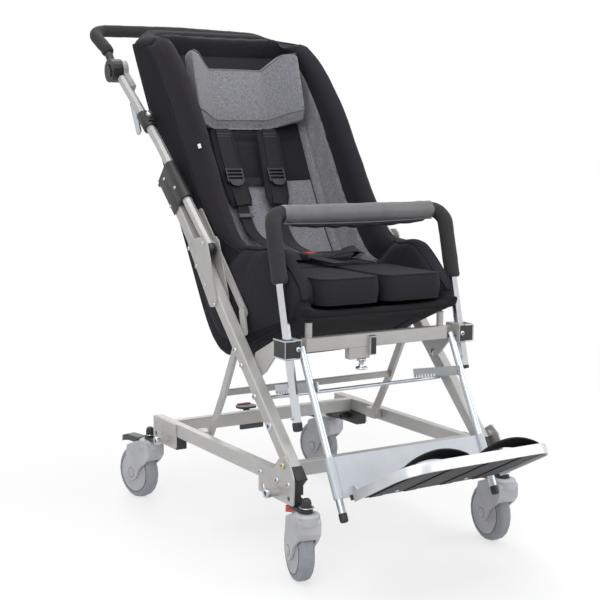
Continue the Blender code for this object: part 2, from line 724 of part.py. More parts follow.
def seat_cross_tube():
    """Cross tube under the seat front with end straps, two upright rests and the index block."""
    y, z = CROSS_TUBE_Y, CROSS_TUBE_Z
    inner = LEG_X - LEG_R - LOOSE
    body = box((0, y, z), (2 * inner, CROSS_TUBE_D, CROSS_TUBE_H), 0.0015)
    strap_t = 0.006
    strap_y = y + CROSS_TUBE_D / 2 - strap_t / 2
    strap = box((0, strap_y, z), (2 * (CLAMP_IN - GAP), strap_t, CROSS_TUBE_H - 0.004), 0.0008)
    rest_x = inner - 0.012
    rests = [rod((side * rest_x, y + 0.002, z), (side * rest_x, y + 0.002, z + 0.045), 0.0075, sides=12)
             for side in SIDES]
    low = z - 0.038
    block = box((INDEX_X - 0.0105, y, (low + z) / 2), (0.051, 0.018, z - low), 0.001)
    guide = box((INDEX_X + 0.0185, y - CROSS_TUBE_D / 2 - 0.002, z - 0.0115), (0.015, 0.010, 0.039), 0.001)
    socket = rod((INDEX_X, y, low - 0.005), (INDEX_X, y, low + 0.024), 0.0045, sides=12)
    node(cut(fuse(body, strap, block, guide, *rests), socket), "seat_cross_tube", "frame_paint", (0, y, z))
    profile = [(0.0, 0.022), (0.0036, 0.022), (0.0036, -0.019), (0.0095, -0.0205), (0.0100, -0.0225),
               (0.0, -0.0225)]
    node(turned(profile, (INDEX_X, y, low), (0, 0, 1), 16), "index_knob", "zinc", (INDEX_X, y, low))


def foot_rod():
    x = MAIN_IN - GAP
    node(rod((-x, *ROD), (x, *ROD), ROD_R, sides=12), "foot_rod", "zinc", (0, *ROD))


PUSH_ALONG, PUSH_UP = heading(FOLD_PIVOT, PUSH_BEND)
UPPER_ALONG, UPPER_UP = heading(PUSH_BEND, HUB)
HANDLE_ALONG, HANDLE_UP = heading(HUB, HANDLE_BEND)
SLEEVE_WALL = 0.0015
SLEEVE_IN = MAIN_IN - 0.0015 - SLEEVE_WALL
SLEEVE_OUT = MAIN_OUT + 0.0015 + SLEEVE_WALL
SLEEVE_ROOF = -(PUSH_R + 0.0025)
SLEEVE_TOP = PUSH_R + 0.0055
SLEEVE_DEEP = -0.050
LEVER_AT = SLEEVE_START + SLEEVE_LEN - 0.012
LEVER_DEEP = -0.030


def on_push(distance, lift=0.0):
    """A place in the side view, measured along the push tube from the fold pivot and square to it."""
    return tuple(Vector(FOLD_PIVOT) + PUSH_ALONG * distance + PUSH_UP * lift)


def push_block(side, low_x, high_x, start, end, low, high, bevel=0.0):
    """A block lined up with the push tube."""
    middle = on_push((start + end) / 2, (low + high) / 2)
    tilt = math.degrees(math.atan2(PUSH_ALONG.y, PUSH_ALONG.x))
    size = (high_x - low_x, end - start, high - low)
    return box(at_side(side, (low_x + high_x) / 2, middle), size, bevel, tilt)


def push_tube(side):
    """Push tube with its fold eye, tube clip and the inner half of the angle hub."""
    low = on_push(-0.017)
    top = tuple(Vector(HUB) - UPPER_ALONG * (HUB_R + 0.004))
    route = bend([at_side(side, MAIN_X, place) for place in (low, PUSH_BEND, top)], 0.10, 4)
    body = tube(route, PUSH_R)
    clip_from = tuple(Vector(PUSH_BEND) + UPPER_ALONG * 0.060)
    clip_to = tuple(Vector(PUSH_BEND) + UPPER_ALONG * 0.108)
    clip = rod(at_side(side, MAIN_X, clip_from), at_side(side, MAIN_X, clip_to), PUSH_R + 0.004, sides=14)
    tab_top = tuple(Vector(PUSH_BEND) + UPPER_ALONG * 0.180 - UPPER_UP * 0.010)
    tab_foot = (tab_top[0] - 0.042, tab_top[1] - 0.078)
    tab_outline = rounded(strip(tab_foot, tab_top, 0.020), 0.006, 2)
    tab = flat(tab_outline, "x", side * (MAIN_X - 0.002), side * (MAIN_X + 0.002))
    knob_at = tuple(Vector(PUSH_BEND) + UPPER_ALONG * 0.084)
    knob = rod(at_side(side, MAIN_X, knob_at), at_side(side, MAIN_X, tuple(Vector(knob_at) + UPPER_UP * 0.026)),
               0.0075, sides=10)
    neck_from = tuple(Vector(HUB) - UPPER_ALONG * (HUB_R + 0.050))
    neck = flat(strip(neck_from, HUB, 0.026), "x", side * HUB_IN, side * HUB_SPLIT)
    disc = cross_rod(side, HUB_IN, HUB_SPLIT, HUB, HUB_R, 18)
    pin = cross_rod(side, HUB_SPLIT - 0.001, HUB_SPLIT + 0.012, HUB, 0.0060, 12)
    eye = cross_rod(side, HINGE_IN, HINGE_OUT, FOLD_PIVOT, 0.0058, 14)
    made = cut(fuse(body, clip, knob, tab, neck, disc, pin), eye)
    node(made, "push_tube." + SIDES[side], "frame_paint", at_side(side, MAIN_X, FOLD_PIVOT))


def lock_sleeve(side):
    """Twin sleeve: a bore on the push tube and a channel that drops over the end of the main tube."""
    end = SLEEVE_START + SLEEVE_LEN
    body = push_block(side, SLEEVE_IN, SLEEVE_OUT, SLEEVE_START, end, SLEEVE_DEEP, SLEEVE_TOP, 0.0008)
    bore = rod(at_side(side, MAIN_X, on_push(SLEEVE_START - 0.02)), at_side(side, MAIN_X, on_push(end + 0.02)),
               PUSH_R + GAP, sides=18)
    channel = push_block(side, SLEEVE_IN + SLEEVE_WALL, SLEEVE_OUT - SLEEVE_WALL, SLEEVE_START - 0.02, end + 0.02,
                         SLEEVE_DEEP - 0.02, SLEEVE_ROOF)
    made = cut(body, bore, channel)
    node(made, "lock_sleeve." + SIDES[side], "black_plastic", at_side(side, MAIN_X, on_push(LEVER_AT)))


def sleeve_lever(side):
    """Hook lever hinged between the sleeve's walls, just past the end of the main tube."""
    place = on_push(LEVER_AT, LEVER_DEEP)
    half = (SLEEVE_OUT - SLEEVE_IN) / 2 - SLEEVE_WALL - GAP
    barrel = cross_rod(side, MAIN_X - half, MAIN_X + half, place, 0.0060, 14)
    tip = on_push(LEVER_AT + 0.012, LEVER_DEEP - 0.034)
    arm_outline = rounded(strip(place, tip, 0.0085), 0.003, 2)
    arm = flat(arm_outline, "x", side * (MAIN_X - half + 0.004), side * (MAIN_X + half - 0.004))
    node(fuse(barrel, arm), "sleeve_lever." + SIDES[side], "black_plastic", at_side(side, MAIN_X, place))


BUTTON_DEPTH = 0.0085


def button_outline(inset=0.0):
    """Oval of the hub button in the side view, lined up with the handle."""
    along, up = HANDLE_ALONG, HANDLE_UP
    long_half, half = 0.019 - inset, 0.011 - inset
    centre = Vector(HUB)
    out = []
    for step in range(16):
        turn = 2 * math.pi * step / 16
        out.append(tuple(centre + along * long_half * math.cos(turn) + up * half * math.sin(turn)))
    return out


def handle():
    """Push handle: two hub halves, bent tube and foam grip, with the buttons that free its angle."""
    start = tuple(Vector(HUB) + HANDLE_ALONG * (HUB_R - 0.004))
    back = (HANDLE_BACK[0] + HANDLE_BOW, HANDLE_BACK[1] + HANDLE_BOW / 2)
    left = [at_side(1, HANDLE_X, place) for place in (start, HANDLE_BEND, HANDLE_BACK)]
    right = [(-x, y, z) for x, y, z in reversed(left)]
    route = bend([*left, (0, *back), *right], HANDLE_CORNER, 3)
    body = tube(route, HANDLE_R)
    halves = []
    bores = []
    for side in SIDES:
        halves.append(cross_rod(side, HUB_SPLIT + GAP, HUB_OUT, HUB, HUB_R - 0.0005, 18))
        bores.append(cross_rod(side, HUB_SPLIT - 0.01, HUB_SPLIT + 0.0125, HUB, 0.0063, 12))
        bores.append(flat(button_outline(), "x", side * (HUB_OUT - BUTTON_DEPTH), side * (HUB_OUT + 0.01)))
        button_in = HUB_OUT - BUTTON_DEPTH + 0.0035
        button = flat(button_outline(GAP), "x", side * button_in, side * (HUB_OUT + 0.0035))
        node(button, "hub_button." + SIDES[side], "black_plastic", at_side(side, HUB_OUT, HUB))
    node(cut(fuse(body, *halves), *bores), "handle_bar", "black_plastic", (0, *HUB))
    low = tuple(Vector(HANDLE_BEND) - HANDLE_ALONG * 0.012)
    foam_left = [at_side(1, HANDLE_X, place) for place in (low, HANDLE_BEND, HANDLE_BACK)]
    foam_right = [(-x, y, z) for x, y, z in reversed(foam_left)]
    foam = tube(bend([*foam_left, (0, *back), *foam_right], HANDLE_CORNER, 3), GRIP_R)
    core = tube(route, HANDLE_R + GAP)
    node(cut(foam, core), "handle_grip", "foam", (0, *HANDLE_BACK))


def shell_ring(inner, edge, outer, half):
    """One U section of the seat shell, from its inner middle over the wing's edge to its outer middle."""
    face = half - WING_T
    right = [(face * 0.55, *inner), (face * 0.97, *between(inner, edge, 0.14)),
             (face, *between(inner, edge, 0.78)),
             (half - WING_T / 2, *between(inner, edge, 1.03)), (half, *between(edge, outer, 0.12)),
             (half, *between(edge, outer, 0.88)), (half * 0.96, *between(edge, outer, 1.08)),
             (half * 0.50, *between(edge, outer, 1.10))]
    left = [(-x, y, z) for x, y, z in reversed(right)]
    return [(0.0, *inner), *right, (0.0, *between(edge, outer, 1.10)), *left]


def seat_shell():
    """Padded bucket: sections run from the top of the back down and forward to the front of the seat."""
    wide, low = SHELL_HALF, SHELL_LOW
    sections = [
        ((0.852, 1.112), (0.766, 1.104), (0.888, 1.122), wide - 0.006),
        ((0.836, 1.090), (0.745, 1.088), (0.882, 1.105), wide),
        ((0.796, 1.030), (0.690, 1.055), (0.852, 1.050), wide),
        ((0.748, 0.940), (0.620, 0.990), (0.796, 0.955), wide),
        ((0.714, 0.869), (0.552, 0.907), (0.750, 0.880), wide),
        ((0.670, 0.774), (0.485, 0.800), (0.694, 0.785), wide),
        ((0.624, 0.686), (0.426, 0.716), (0.640, 0.702), wide),
        ((0.572, 0.600), (0.372, 0.655), (0.588, 0.618), wide - 0.001),
        ((0.510, 0.530), (0.335, 0.640), (0.542, 0.526), wide - 0.006),
        ((0.430, 0.503), (0.300, 0.641), (0.484, 0.426), low + 0.009),
        ((0.350, 0.499), (0.262, 0.642), (0.424, 0.382), low + 0.007),
        ((0.270, 0.507), (0.221, 0.630), (0.300, 0.434), low + 0.004),
        ((0.190, 0.513), (0.172, 0.592), (0.200, 0.476), low),
        ((0.136, 0.518), (0.134, 0.552), (0.136, 0.505), low),
        ((0.114, 0.522), (0.112, 0.534), (0.115, 0.510), low - 0.003),
    ]
    shell = loft([shell_ring(*section) for section in sections], 1)
    node(shell, "seat_shell", "black_fabric", (0, *SEAT_PIVOT))


def seat_cushion():
    """Thigh cushion with a crown on each leg's section and a channel between them."""
    half = CUSHION_HALF
    rings = []
    sections = ((CUSHION_FRONT, 0.017, -0.016, 0.010, 0.010),
                (CUSHION_FRONT + 0.006, 0.008, -0.004, 0.022, 0.002), (0.160, 0.005, 0.004, 0.026, 0.0),
                (0.260, 0.003, 0.004, 0.022, 0.0), (0.360, -0.003, 0.0, 0.012, 0.002),
                (0.440, -0.001, 0.0, 0.004, 0.006), (CUSHION_BACK, 0.012, -0.004, 0.002, 0.016))
    for y, rise, swell, groove, narrow in sections:
        low, top = SEAT_Z + rise, CUSHION_TOP + swell
        wide = half - narrow
        right = [(wide - 0.030, y, low), (wide, y, low + 0.026), (wide - 0.004, y, top - 0.012),
                 (wide - 0.030, y, top + 0.004), (wide * 0.45, y, top + 0.006), (0.012, y, top - groove * 0.3)]
        left = [(-x, y_, z) for x, y_, z in reversed(right)]
        rings.append([(0.0, y, low), *right, (0.0, y, top - groove), *left])
    node(loft(rings, 1), "seat_cushion", "black_fabric", (0, CUSHION_FRONT, CUSHION_TOP))


LEAN = math.radians(BACK_LEAN)
BACK_UP = Vector((math.sin(LEAN), math.cos(LEAN)))
BACK_FORWARD = Vector((-math.cos(LEAN), math.sin(LEAN)))


def on_back(up, forward, x=0.0):
    """A place measured up the back and forward from it, starting at the headrest's lower front edge."""
    place = Vector(HEADREST) + BACK_UP * up + BACK_FORWARD * forward
    return (x, place.x, place.y)


def headrest():
    """Head pad: flat in the middle, with a wing bent forward on each side that stands higher than the middle."""
    rings = []
    for part in (-1.0, -0.95, -0.74, -0.50, 0.0, 0.50, 0.74, 0.95, 1.0):
        x = part * HEADREST_HALF
        reach = max(HEADREST_SET, HEADREST_WING * (abs(part) - HEADREST_FLAT) / (1 - HEADREST_FLAT))
        thick = HEADREST_T * (0.35 if abs(part) == 1.0 else 1.0)
        front, back = reach, reach - thick
        if abs(part) == 1.0:
            front, back = reach - HEADREST_T * 0.3, reach - HEADREST_T * 0.7
        trim = 0.006 if abs(part) == 1.0 else 0.0
        notch = 0.024 * min(1.0, (1 - abs(part)) / 0.38)
        low, high = trim, HEADREST_H - trim - notch
        rings.append([on_back(low + 0.010, front, x), on_back((low + high) / 2, front + 0.006, x),
                      on_back(high - 0.010, front, x), on_back(high, (front + back) / 2, x),
                      on_back(high - 0.010, back, x), on_back((low + high) / 2, back, x),
                      on_back(low + 0.010, back, x), on_back(low, (front + back) / 2, x)])
    node(loft(rings, 1), "headrest", "grey_fabric", on_back(0, 0))


def ribbon(points, width, thickness, level=0):
    """A flat strap along a route, its width lying across the route and as level as it can."""
    places = [Vector(p) for p in points]
    rings = []
    for index, place in enumerate(places):
        ahead = places[min(index + 1, len(places) - 1)]
        behind = places[max(index - 1, 0)]
        along = (ahead - behind).normalized()
        across = along.cross(Vector((0, -0.5, 1.0))).normalized()
        normal = across.cross(along).normalized()
        a, b = across * width / 2, normal * thickness / 2
        rings.append([place + a + b, place - a + b, place - a - b, place + a - b])
    return loft(rings, level)


BUCKLE = (0.0, 0.390, CUSHION_TOP + 0.0145)


def harness():
    """Five point harness: shoulder pads and straps, lap straps, crotch strap and buckle."""
    pieces = []
    for side in SIDES:
        shoulder = [(side * 0.062, 0.689, 0.868), (side * 0.062, 0.662, 0.805), (side * 0.056, 0.628, 0.735)]
        strap_end = (side * 0.0135, BUCKLE[1] + 0.020, BUCKLE[2] + 0.0006)
        lap_end = (side * 0.0150, BUCKLE[1] + 0.001, BUCKLE[2] - 0.0010)
        strap = [(side * 0.058, 0.637, 0.755), (side * 0.048, 0.590, 0.665),
                 (side * 0.030, 0.510, CUSHION_TOP + 0.034), strap_end]
        lap = [(side * 0.164, 0.430, CUSHION_TOP + 0.032), (side * 0.090, 0.405, CUSHION_TOP + 0.013), lap_end]
        pieces += [ribbon(shoulder, 0.052, 0.013), ribbon(strap, 0.026, 0.0035), ribbon(lap, 0.030, 0.0036)]
    yoke = box((0, 0.6490, 0.760), (0.110, 0.004, 0.018), 0.0, -BACK_LEAN)
    crotch_end = (0, BUCKLE[1] - 0.020, BUCKLE[2] - 0.0004)
    crotch = ribbon([crotch_end, (0, 0.330, CUSHION_TOP + 0.008), (0, 0.270, CUSHION_TOP + 0.004)],
                    0.034, 0.0034)
    block = box(BUCKLE, (0.046, 0.062, 0.013), 0.003)
    pocket = box((0, BUCKLE[1], BUCKLE[2] + 0.0075), (0.0186, 0.0246, 0.010))
    node(cut(fuse(block, *pieces, yoke, crotch), pocket), "harness", "webbing", BUCKLE)
    top = BUCKLE[2] + 0.0065
    button = box((0, BUCKLE[1], top - 0.0005), (0.0186 - 2 * GAP, 0.0246 - 2 * GAP, 0.0040), 0.0005)
    node(button, "buckle_button", "pedal_red", (0, BUCKLE[1], top))


def side_bar(side):
    """Flat link bar from the seat pivot up the side of the shell."""
    along, _ = heading(SEAT_PIVOT, LINK_TOP)
    foot = tuple(Vector(SEAT_PIVOT) - along * 0.011)
    top = tuple(Vector(LINK_TOP) + along * 0.010)
    bar = flat(rounded(strip(foot, top, LINK_W), 0.009), "x", side * LINK_IN, side * LINK_OUT,
               [circle(SEAT_PIVOT, 0.0043, 14)])
    boss = cross_rod(side, LINK_IN + 0.001, LINK_IN - LINK_BOSS, LINK_TOP, 0.0080, 14)
    bar = fuse(bar, boss)
    node(bar, "side_bar." + SIDES[side], "frame_paint", at_side(side, LINK_OUT, SEAT_PIVOT))


def bar_route(start, end):
    """Route of the safety bar between two places of its left and right leg in the side view."""
    z = BAR_ELBOW[1]
    elbow = on_bar(z - 0.020)
    front = (BAR_FRONT_Y, z)
    right = [at_side(-1, BAR_X, start), at_side(-1, BAR_X, elbow), (-BAR_X + 0.012, *front)]
    left = [(BAR_X - 0.012, *front), at_side(1, BAR_X, elbow), at_side(1, BAR_X, end)]
    return bend([*right, *left], 0.030, 3)


BAR_PIN_Z = 0.316


def safety_bar():
    """Chrome safety bar with its foam cover, padded sleeve and the spring pin of its long leg."""
    chrome = tube(bar_route(on_bar(BAR_FOOT_Z[-1]), on_bar(BAR_FOOT_Z[1])), BAR_R)
    pin_at = on_bar(BAR_PIN_Z)
    pocket = cross_rod(-1, BAR_X + 0.001, BAR_X + 0.020, pin_at, 0.0033, 10)
    node(cut(chrome, pocket), "safety_bar", "chrome", (0, *on_bar(CLAMP_Z)))
    foam = tube(bar_route(on_bar(BAR_FOAM_END[1]), on_bar(BAR_FOAM_END[1] - 0.010)), BAR_FOAM_R)
    core = tube(bar_route(on_bar(BAR_FOAM_END[1] - 0.03), on_bar(BAR_FOAM_END[1] - 0.04)), BAR_R + GAP)
    node(cut(foam, core), "bar_foam", "foam", (0, *BAR_FOAM_END))
    pin = cross_rod(-1, BAR_X + 0.0045, BAR_X + BAR_R + 0.0030, pin_at, 0.0030, 10)
    node(pin, "bar_pin", "zinc", at_side(-1, BAR_X + BAR_R, pin_at))
    place = (BAR_FRONT_Y, BAR_ELBOW[1])
    inside = BAR_FOAM_R + GAP
    section = [(inside, PAD_HALF), (inside, -PAD_HALF), (PAD_R + 0.0005, -PAD_HALF), (PAD_R + 0.002, 0.0),
               (PAD_R + 0.0005, PAD_HALF)]
    node(turned(section, (0, *place), (1, 0, 0), 18), "bar_pad", "vinyl", (0, *place))


LEG_ALONG, LEG_FRONT = heading(LEG_HINGE, LEG_FOOT)


def on_leg(z, ahead=0.0):
    """A place in the side view on the leg tube's axis at a height, or ahead of it."""
    part = (z - LEG_HINGE[1]) / LEG_ALONG.y
    place = Vector(LEG_HINGE) + LEG_ALONG * part - LEG_FRONT * ahead
    return tuple(place)


TOOTH_PIVOT = on_leg(TOOTH_PIVOT_Z)
TOOTH_OUT = LEG_X - LEG_R - GAP
TOOTH_IN = TOOTH_OUT - TOOTH_T


def leg_tube(side):
    """Leg rest tube that hangs from the hinge pin and carries the pin of its toothed plate."""
    top = tuple(Vector(LEG_HINGE) - LEG_ALONG * 0.008)
    body = rod(at_side(side, LEG_X, top), at_side(side, LEG_X, LEG_FOOT), LEG_R, sides=16)
    pin = cross_rod(side, LEG_X, TOOTH_IN - 0.0015, TOOTH_PIVOT, 0.0030, 10)
    eye = cross_rod(side, LEG_X - 0.02, LEG_X + 0.02, LEG_HINGE, 0.0033, 10)
    node(cut(fuse(body, pin), eye), "leg_tube." + SIDES[side], "zinc", at_side(side, LEG_X, LEG_HINGE))


def tooth_plate(side):
    """Support plate hinged on a leg tube, with a toothed lower edge that rests on the rod."""
    reach = ROD[0] - TOOTH_PIVOT[0]
    drop = TOOTH_PIVOT[1] - (ROD[1] + ROD_R + GAP)
    chord = math.hypot(reach, drop)
    half = TOOTH_H / 2
    slope = -math.atan2(drop, reach) + math.asin(half / chord)
    along = Vector((math.cos(slope), math.sin(slope)))
    up = Vector((-along.y, along.x))
    pitch, depth = 0.011, 0.007
    edge = [(-0.012, -half)]
    contact = math.sqrt(chord * chord - half * half)
    first = contact - 4.5 * pitch
    for index in range(7):
        start = first + index * pitch
        edge += [(start + 0.2 * pitch, -half), (start + 0.3 * pitch, -half + depth),
                 (start + 0.7 * pitch, -half + depth), (start + 0.8 * pitch, -half)]
    end = first + 7.3 * pitch
    corners = [*edge, (end, -half), (end, half), (-0.012, half)]
    outline = [tuple(Vector(TOOTH_PIVOT) + along * a + up * b) for a, b in corners]
    plate = flat(outline, "x", side * TOOTH_IN, side * TOOTH_OUT, [circle(TOOTH_PIVOT, 0.0033, 10)])
    node(plate, "tooth_plate." + SIDES[side], "zinc", at_side(side, LEG_X, TOOTH_PIVOT))


FOOT_HINGE = on_leg(CALF_BOTTOM - 0.026, LEG_R + 0.012)


def calf_panel():
    """Zinc panel between the leg tubes with side channels that slide on them."""
    channel_r = LEG_R + GAP + 0.0025
    low, high = on_leg(CALF_BOTTOM - 0.022), on_leg(CALF_TOP)
    channels = []
    bores = []
    for side in SIDES:
        channels.append(rod(at_side(side, LEG_X, low), at_side(side, LEG_X, high), channel_r, sides=14))
        ends = on_leg(CALF_BOTTOM - 0.05), on_leg(CALF_TOP + 0.03)
        bores.append(rod(at_side(side, LEG_X, ends[0]), at_side(side, LEG_X, ends[1]), LEG_R + GAP, sides=16))
    length = (Vector(high) - Vector(low)).length - 0.001
    tilt = math.degrees(math.atan2(-LEG_ALONG.y, -LEG_ALONG.x))
    middle = between(low, high, 0.5)
    panel = box((0, *middle), (2 * (LEG_X - LEG_R - 0.001), length, CALF_T), 0.0, tilt)
    foot = FOOT_HINGE
    lugs = [flat(rounded(strip(foot, on_leg(CALF_BOTTOM - 0.004), 0.012), 0.004, 2), "x", x - 0.003, x + 0.003)
            for x in (-FOOT_LUG_X, FOOT_LUG_X)]
    pins = [rod((x - math.copysign(0.002, x), *foot), (x + math.copysign(0.012, x), *foot), 0.0028, sides=10)
            for x in (-FOOT_LUG_X, FOOT_LUG_X)]
    made = cut(fuse(panel, *channels, *lugs, *pins), *bores)
    node(made, "calf_panel", "zinc", (0, *on_leg(CALF_TOP)))


def footplate():
    """Footplate with rounded front corners, edge strip, two mats and their straps, hinged at its rear edge."""
    y, z = FOOT_HINGE
    rear = y - 0.0055
    front = y - FOOT_LEN
    low, high = z - FOOT_T / 2, z + FOOT_T / 2
    outline = [(FOOT_HALF, rear)]
    for side in (1, -1):
        middle = (side * (FOOT_HALF - FOOT_CORNER), front + FOOT_CORNER)
        turns = range(6) if side == 1 else range(5, -1, -1)
        for step in turns:
            angle = math.pi / 2 * step / 5
            outline.append((middle[0] + side * FOOT_CORNER * math.cos(angle),
                            middle[1] - FOOT_CORNER * math.sin(angle)))
    outline.append((-FOOT_HALF, rear))
    tray = flat(outline, "z", low, high)
    mat_size = (FOOT_HALF * 0.80, FOOT_LEN * 0.74, 0.006)
    mats = [box((side * FOOT_HALF * 0.48, (rear + front) / 2, high + 0.0015), mat_size) for side in SIDES]
    strap_size = (FOOT_HALF * 0.84, 0.030, 0.006)
    straps = [box((side * FOOT_HALF * 0.48, front + FOOT_LEN * 0.42, high + 0.0045), strap_size, 0.0015)
              for side in SIDES]
    ears = [rod((side * 0.1535, y, z), (side * 0.1650, y, z), 0.0050, sides=12) for side in SIDES]
    webs = [box((side * 0.1592, y - 0.004, z), (0.0113, 0.0075, FOOT_T - 0.001)) for side in SIDES]
    bores = [rod((side * 0.140, y, z), (side * 0.1625, y, z), 0.0031, sides=10) for side in SIDES]
    notches = [box((side * FOOT_LUG_X, rear, z), (0.0067, 0.030, 0.040)) for side in SIDES]
    made = cut(fuse(tray, *mats, *straps, *ears, *webs), *bores, *notches)
    lean = Matrix.Rotation(math.radians(-FOOT_TOE_UP), 4, "X")
    turn = Matrix.Translation((0, y, z)) @ lean @ Matrix.Translation((0, -y, -z))
    made.data.transform(turn)
    node(made, "footplate", "mat_black", (0, y, z))


def centre():
    """Moves the whole part so that its footprint is centred on the origin."""
    bpy.context.view_layer.update()
    ends = []
    for obj in PARTS.objects:
        if obj.type == "MESH":
            ends += [(obj.matrix_world @ Vector(corner)).y for corner in obj.bound_box]
    ROOT.location.y = -(min(ends) + max(ends)) / 2
    bpy.context.view_layer.update()


def build():
    base_frame()
    casters()
    rear_pedal()
    brace_frame()
    seat_cross_tube()
    foot_rod()
    for side in SIDES:
        rear_plate(side)
        front_plate(side)
        front_block(side)
        rear_block(side)
        main_tube(side)
        hinge_plates(side)
        bar_clamp(side)
        push_tube(side)
        lock_sleeve(side)
        sleeve_lever(side)
        side_bar(side)
        leg_tube(side)
        tooth_plate(side)
    handle()
    seat_shell()
    seat_cushion()
    headrest()
    harness()
    safety_bar()
    calf_panel()
    footplate()
    centre()


build()
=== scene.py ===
"""Dresses the special needs stroller: materials, upholstery, straps, small fittings, studio and camera."""
import json
from math import copysign, cos, exp, floor, pi, radians, sin, tan

import bmesh
import bpy
from mathutils import Matrix, Vector


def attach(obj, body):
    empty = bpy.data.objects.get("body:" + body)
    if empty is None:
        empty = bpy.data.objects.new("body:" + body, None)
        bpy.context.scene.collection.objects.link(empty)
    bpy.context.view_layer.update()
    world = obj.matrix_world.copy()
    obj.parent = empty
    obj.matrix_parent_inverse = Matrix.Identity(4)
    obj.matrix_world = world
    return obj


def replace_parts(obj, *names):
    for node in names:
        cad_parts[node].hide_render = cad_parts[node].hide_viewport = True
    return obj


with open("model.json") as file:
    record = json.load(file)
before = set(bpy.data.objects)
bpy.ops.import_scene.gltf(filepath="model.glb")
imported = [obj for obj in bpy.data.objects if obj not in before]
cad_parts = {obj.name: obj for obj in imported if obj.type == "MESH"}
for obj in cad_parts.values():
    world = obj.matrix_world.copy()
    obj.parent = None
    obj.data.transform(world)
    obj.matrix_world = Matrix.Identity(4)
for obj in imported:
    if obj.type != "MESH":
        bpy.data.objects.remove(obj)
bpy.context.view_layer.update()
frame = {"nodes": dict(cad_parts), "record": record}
NODES = frame["nodes"]
scene = bpy.context.scene
SHIFT = -0.41687  # from the side view's y, which starts at the front swivel axes, to the row frame
SIDES = {-1: "R", 1: "L"}


def at(x, y, z):
    """A place given by x and the side view's y and z, in the row frame."""
    return Vector((x, y + SHIFT, z))


# Materials

def add(tree, kind, inputs=None, **settings):
    """Adds a shader node, sets its options and fills or links its inputs."""
    made = tree.nodes.new(kind)
    for key, value in settings.items():
        setattr(made, key, value)
    for key, value in (inputs or {}).items():
        if isinstance(value, bpy.types.NodeSocket):
            tree.links.new(value, made.inputs[key])
        else:
            made.inputs[key].default_value = value
    return made


def math_node(tree, operation, a, b=0.0):
    return add(tree, "ShaderNodeMath", {0: a, 1: b}, operation=operation).outputs[0]


def grey(value):
    return (value, value, value)


def shade(colour, factor):
    return tuple(min(1.0, channel * factor) for channel in colour)


# A finish fills the slot of its own name, apart from these, which share another finish's slot.
SHARED = {"aluminium": "zinc", "brass_zinc": "zinc", "zinc_sheet": "zinc", "shaded_cover_fabric": "black_fabric",
          "tag_white": "caster_grey"}
SLOTS = {}


class Look:
    """A material under construction, with its node tree and its Principled shader."""

    def __init__(self, name, colour, roughness, metallic=0.0, **more):
        self.made = bpy.data.materials.new(name)
        self.made.use_nodes = True
        SLOTS[self.made.name] = SHARED.get(name, name)
        self.colour = colour
        self.tree = self.made.node_tree
        self.shader = self.tree.nodes["Principled BSDF"]
        more |= {"Base Color": (*colour, 1.0), "Roughness": roughness, "Metallic": metallic}
        for key, value in more.items():
            self.shader.inputs[key.replace("_", " ")].default_value = value
        self.where = self.places()

    def add(self, kind, inputs=None, **settings):
        return add(self.tree, "ShaderNode" + kind, inputs, **settings)

    def math(self, operation, a, b=0.0):
        return math_node(self.tree, operation, a, b)

    def places(self, stretch=(1.0, 1.0, 1.0)):
        """The object's own coordinates in metres, stretched."""
        source = self.add("TexCoord").outputs["Object"]
        return self.add("Mapping", {"Vector": source, "Scale": stretch}).outputs["Vector"]

    def noise(self, scale, detail=3.0, roughness=0.55, where=None):
        inputs = {"Vector": self.where if where is None else where, "Scale": scale, "Detail": detail,
                  "Roughness": roughness}
        return self.add("TexNoise", inputs).outputs["Fac"]

    def cells(self, scale, **settings):
        return self.add("TexVoronoi", {"Vector": self.where, "Scale": scale}, **settings).outputs["Distance"]

    def wave(self, direction, pitch):
        """Fine parallel threads or ribs: a sine along a direction, from 0 to 1."""
        along = self.add("VectorMath", {0: self.where, 1: direction},
                         operation="DOT_PRODUCT").outputs["Value"]
        swing = self.math("SINE", self.math("MULTIPLY", along, 2 * pi / pitch))
        return self.math("ADD", self.math("MULTIPLY", swing, 0.5), 0.5)

    def blend(self, a, b, share):
        """Two values added, share of the first and the rest of the second."""
        return self.math("ADD", self.math("MULTIPLY", a, share), self.math("MULTIPLY", b, 1 - share))

    def ramp(self, source, low, high, stops=(0.3, 0.7)):
        """Two colours laid out over a 0 to 1 source."""
        made = self.add("ValToRGB", {"Fac": source})
        for element, place, colour in zip(made.color_ramp.elements, stops, (low, high)):
            element.position = place
            element.color = (*colour, 1.0)
        return made.outputs["Color"]

    def drift(self, source, low, high, stops=(0.3, 0.7)):
        """The colour made darker and lighter over a source."""
        return self.ramp(source, shade(self.colour, low), shade(self.colour, high), stops)

    def mix(self, share, first, second):
        return self.add("Mix", {0: share, 6: first, 7: (*second, 1.0)}, data_type="RGBA").outputs[2]

    def finish(self, tone, height, strength, depth, rough=None):
        """Links the colour, the gloss where it varies, and the relief; gives the material."""
        self.tree.links.new(tone, self.shader.inputs["Base Color"])
        if rough is not None:
            self.tree.links.new(rough, self.shader.inputs["Roughness"])
        relief = self.add("Bump", {"Height": height, "Strength": strength, "Distance": depth})
        self.tree.links.new(relief.outputs["Normal"], self.shader.inputs["Normal"])
        return self.made


def painted(name, colour, metallic, roughness):
    """Powder coat: fine orange peel, a slight drift of colour and a painted highlight on sharp edges."""
    look = Look(name, colour, roughness, metallic)
    # Painted highlight: sharp convex edges, found by pointiness, are mixed towards a 1.25 times lighter
    # colour.
    edge = look.add("NewGeometry").outputs["Pointiness"]
    edge_highlight = look.ramp(edge, grey(0.0), grey(0.35), (0.52, 0.62))
    tone = look.mix(edge_highlight, look.drift(look.noise(14.0), 0.93, 1.05), shade(colour, 1.25))
    rough = look.ramp(look.noise(60.0), grey(roughness - 0.06), grey(roughness + 0.06))
    return look.finish(tone, look.noise(1400.0, 2.0), 0.12, 0.0004, rough)


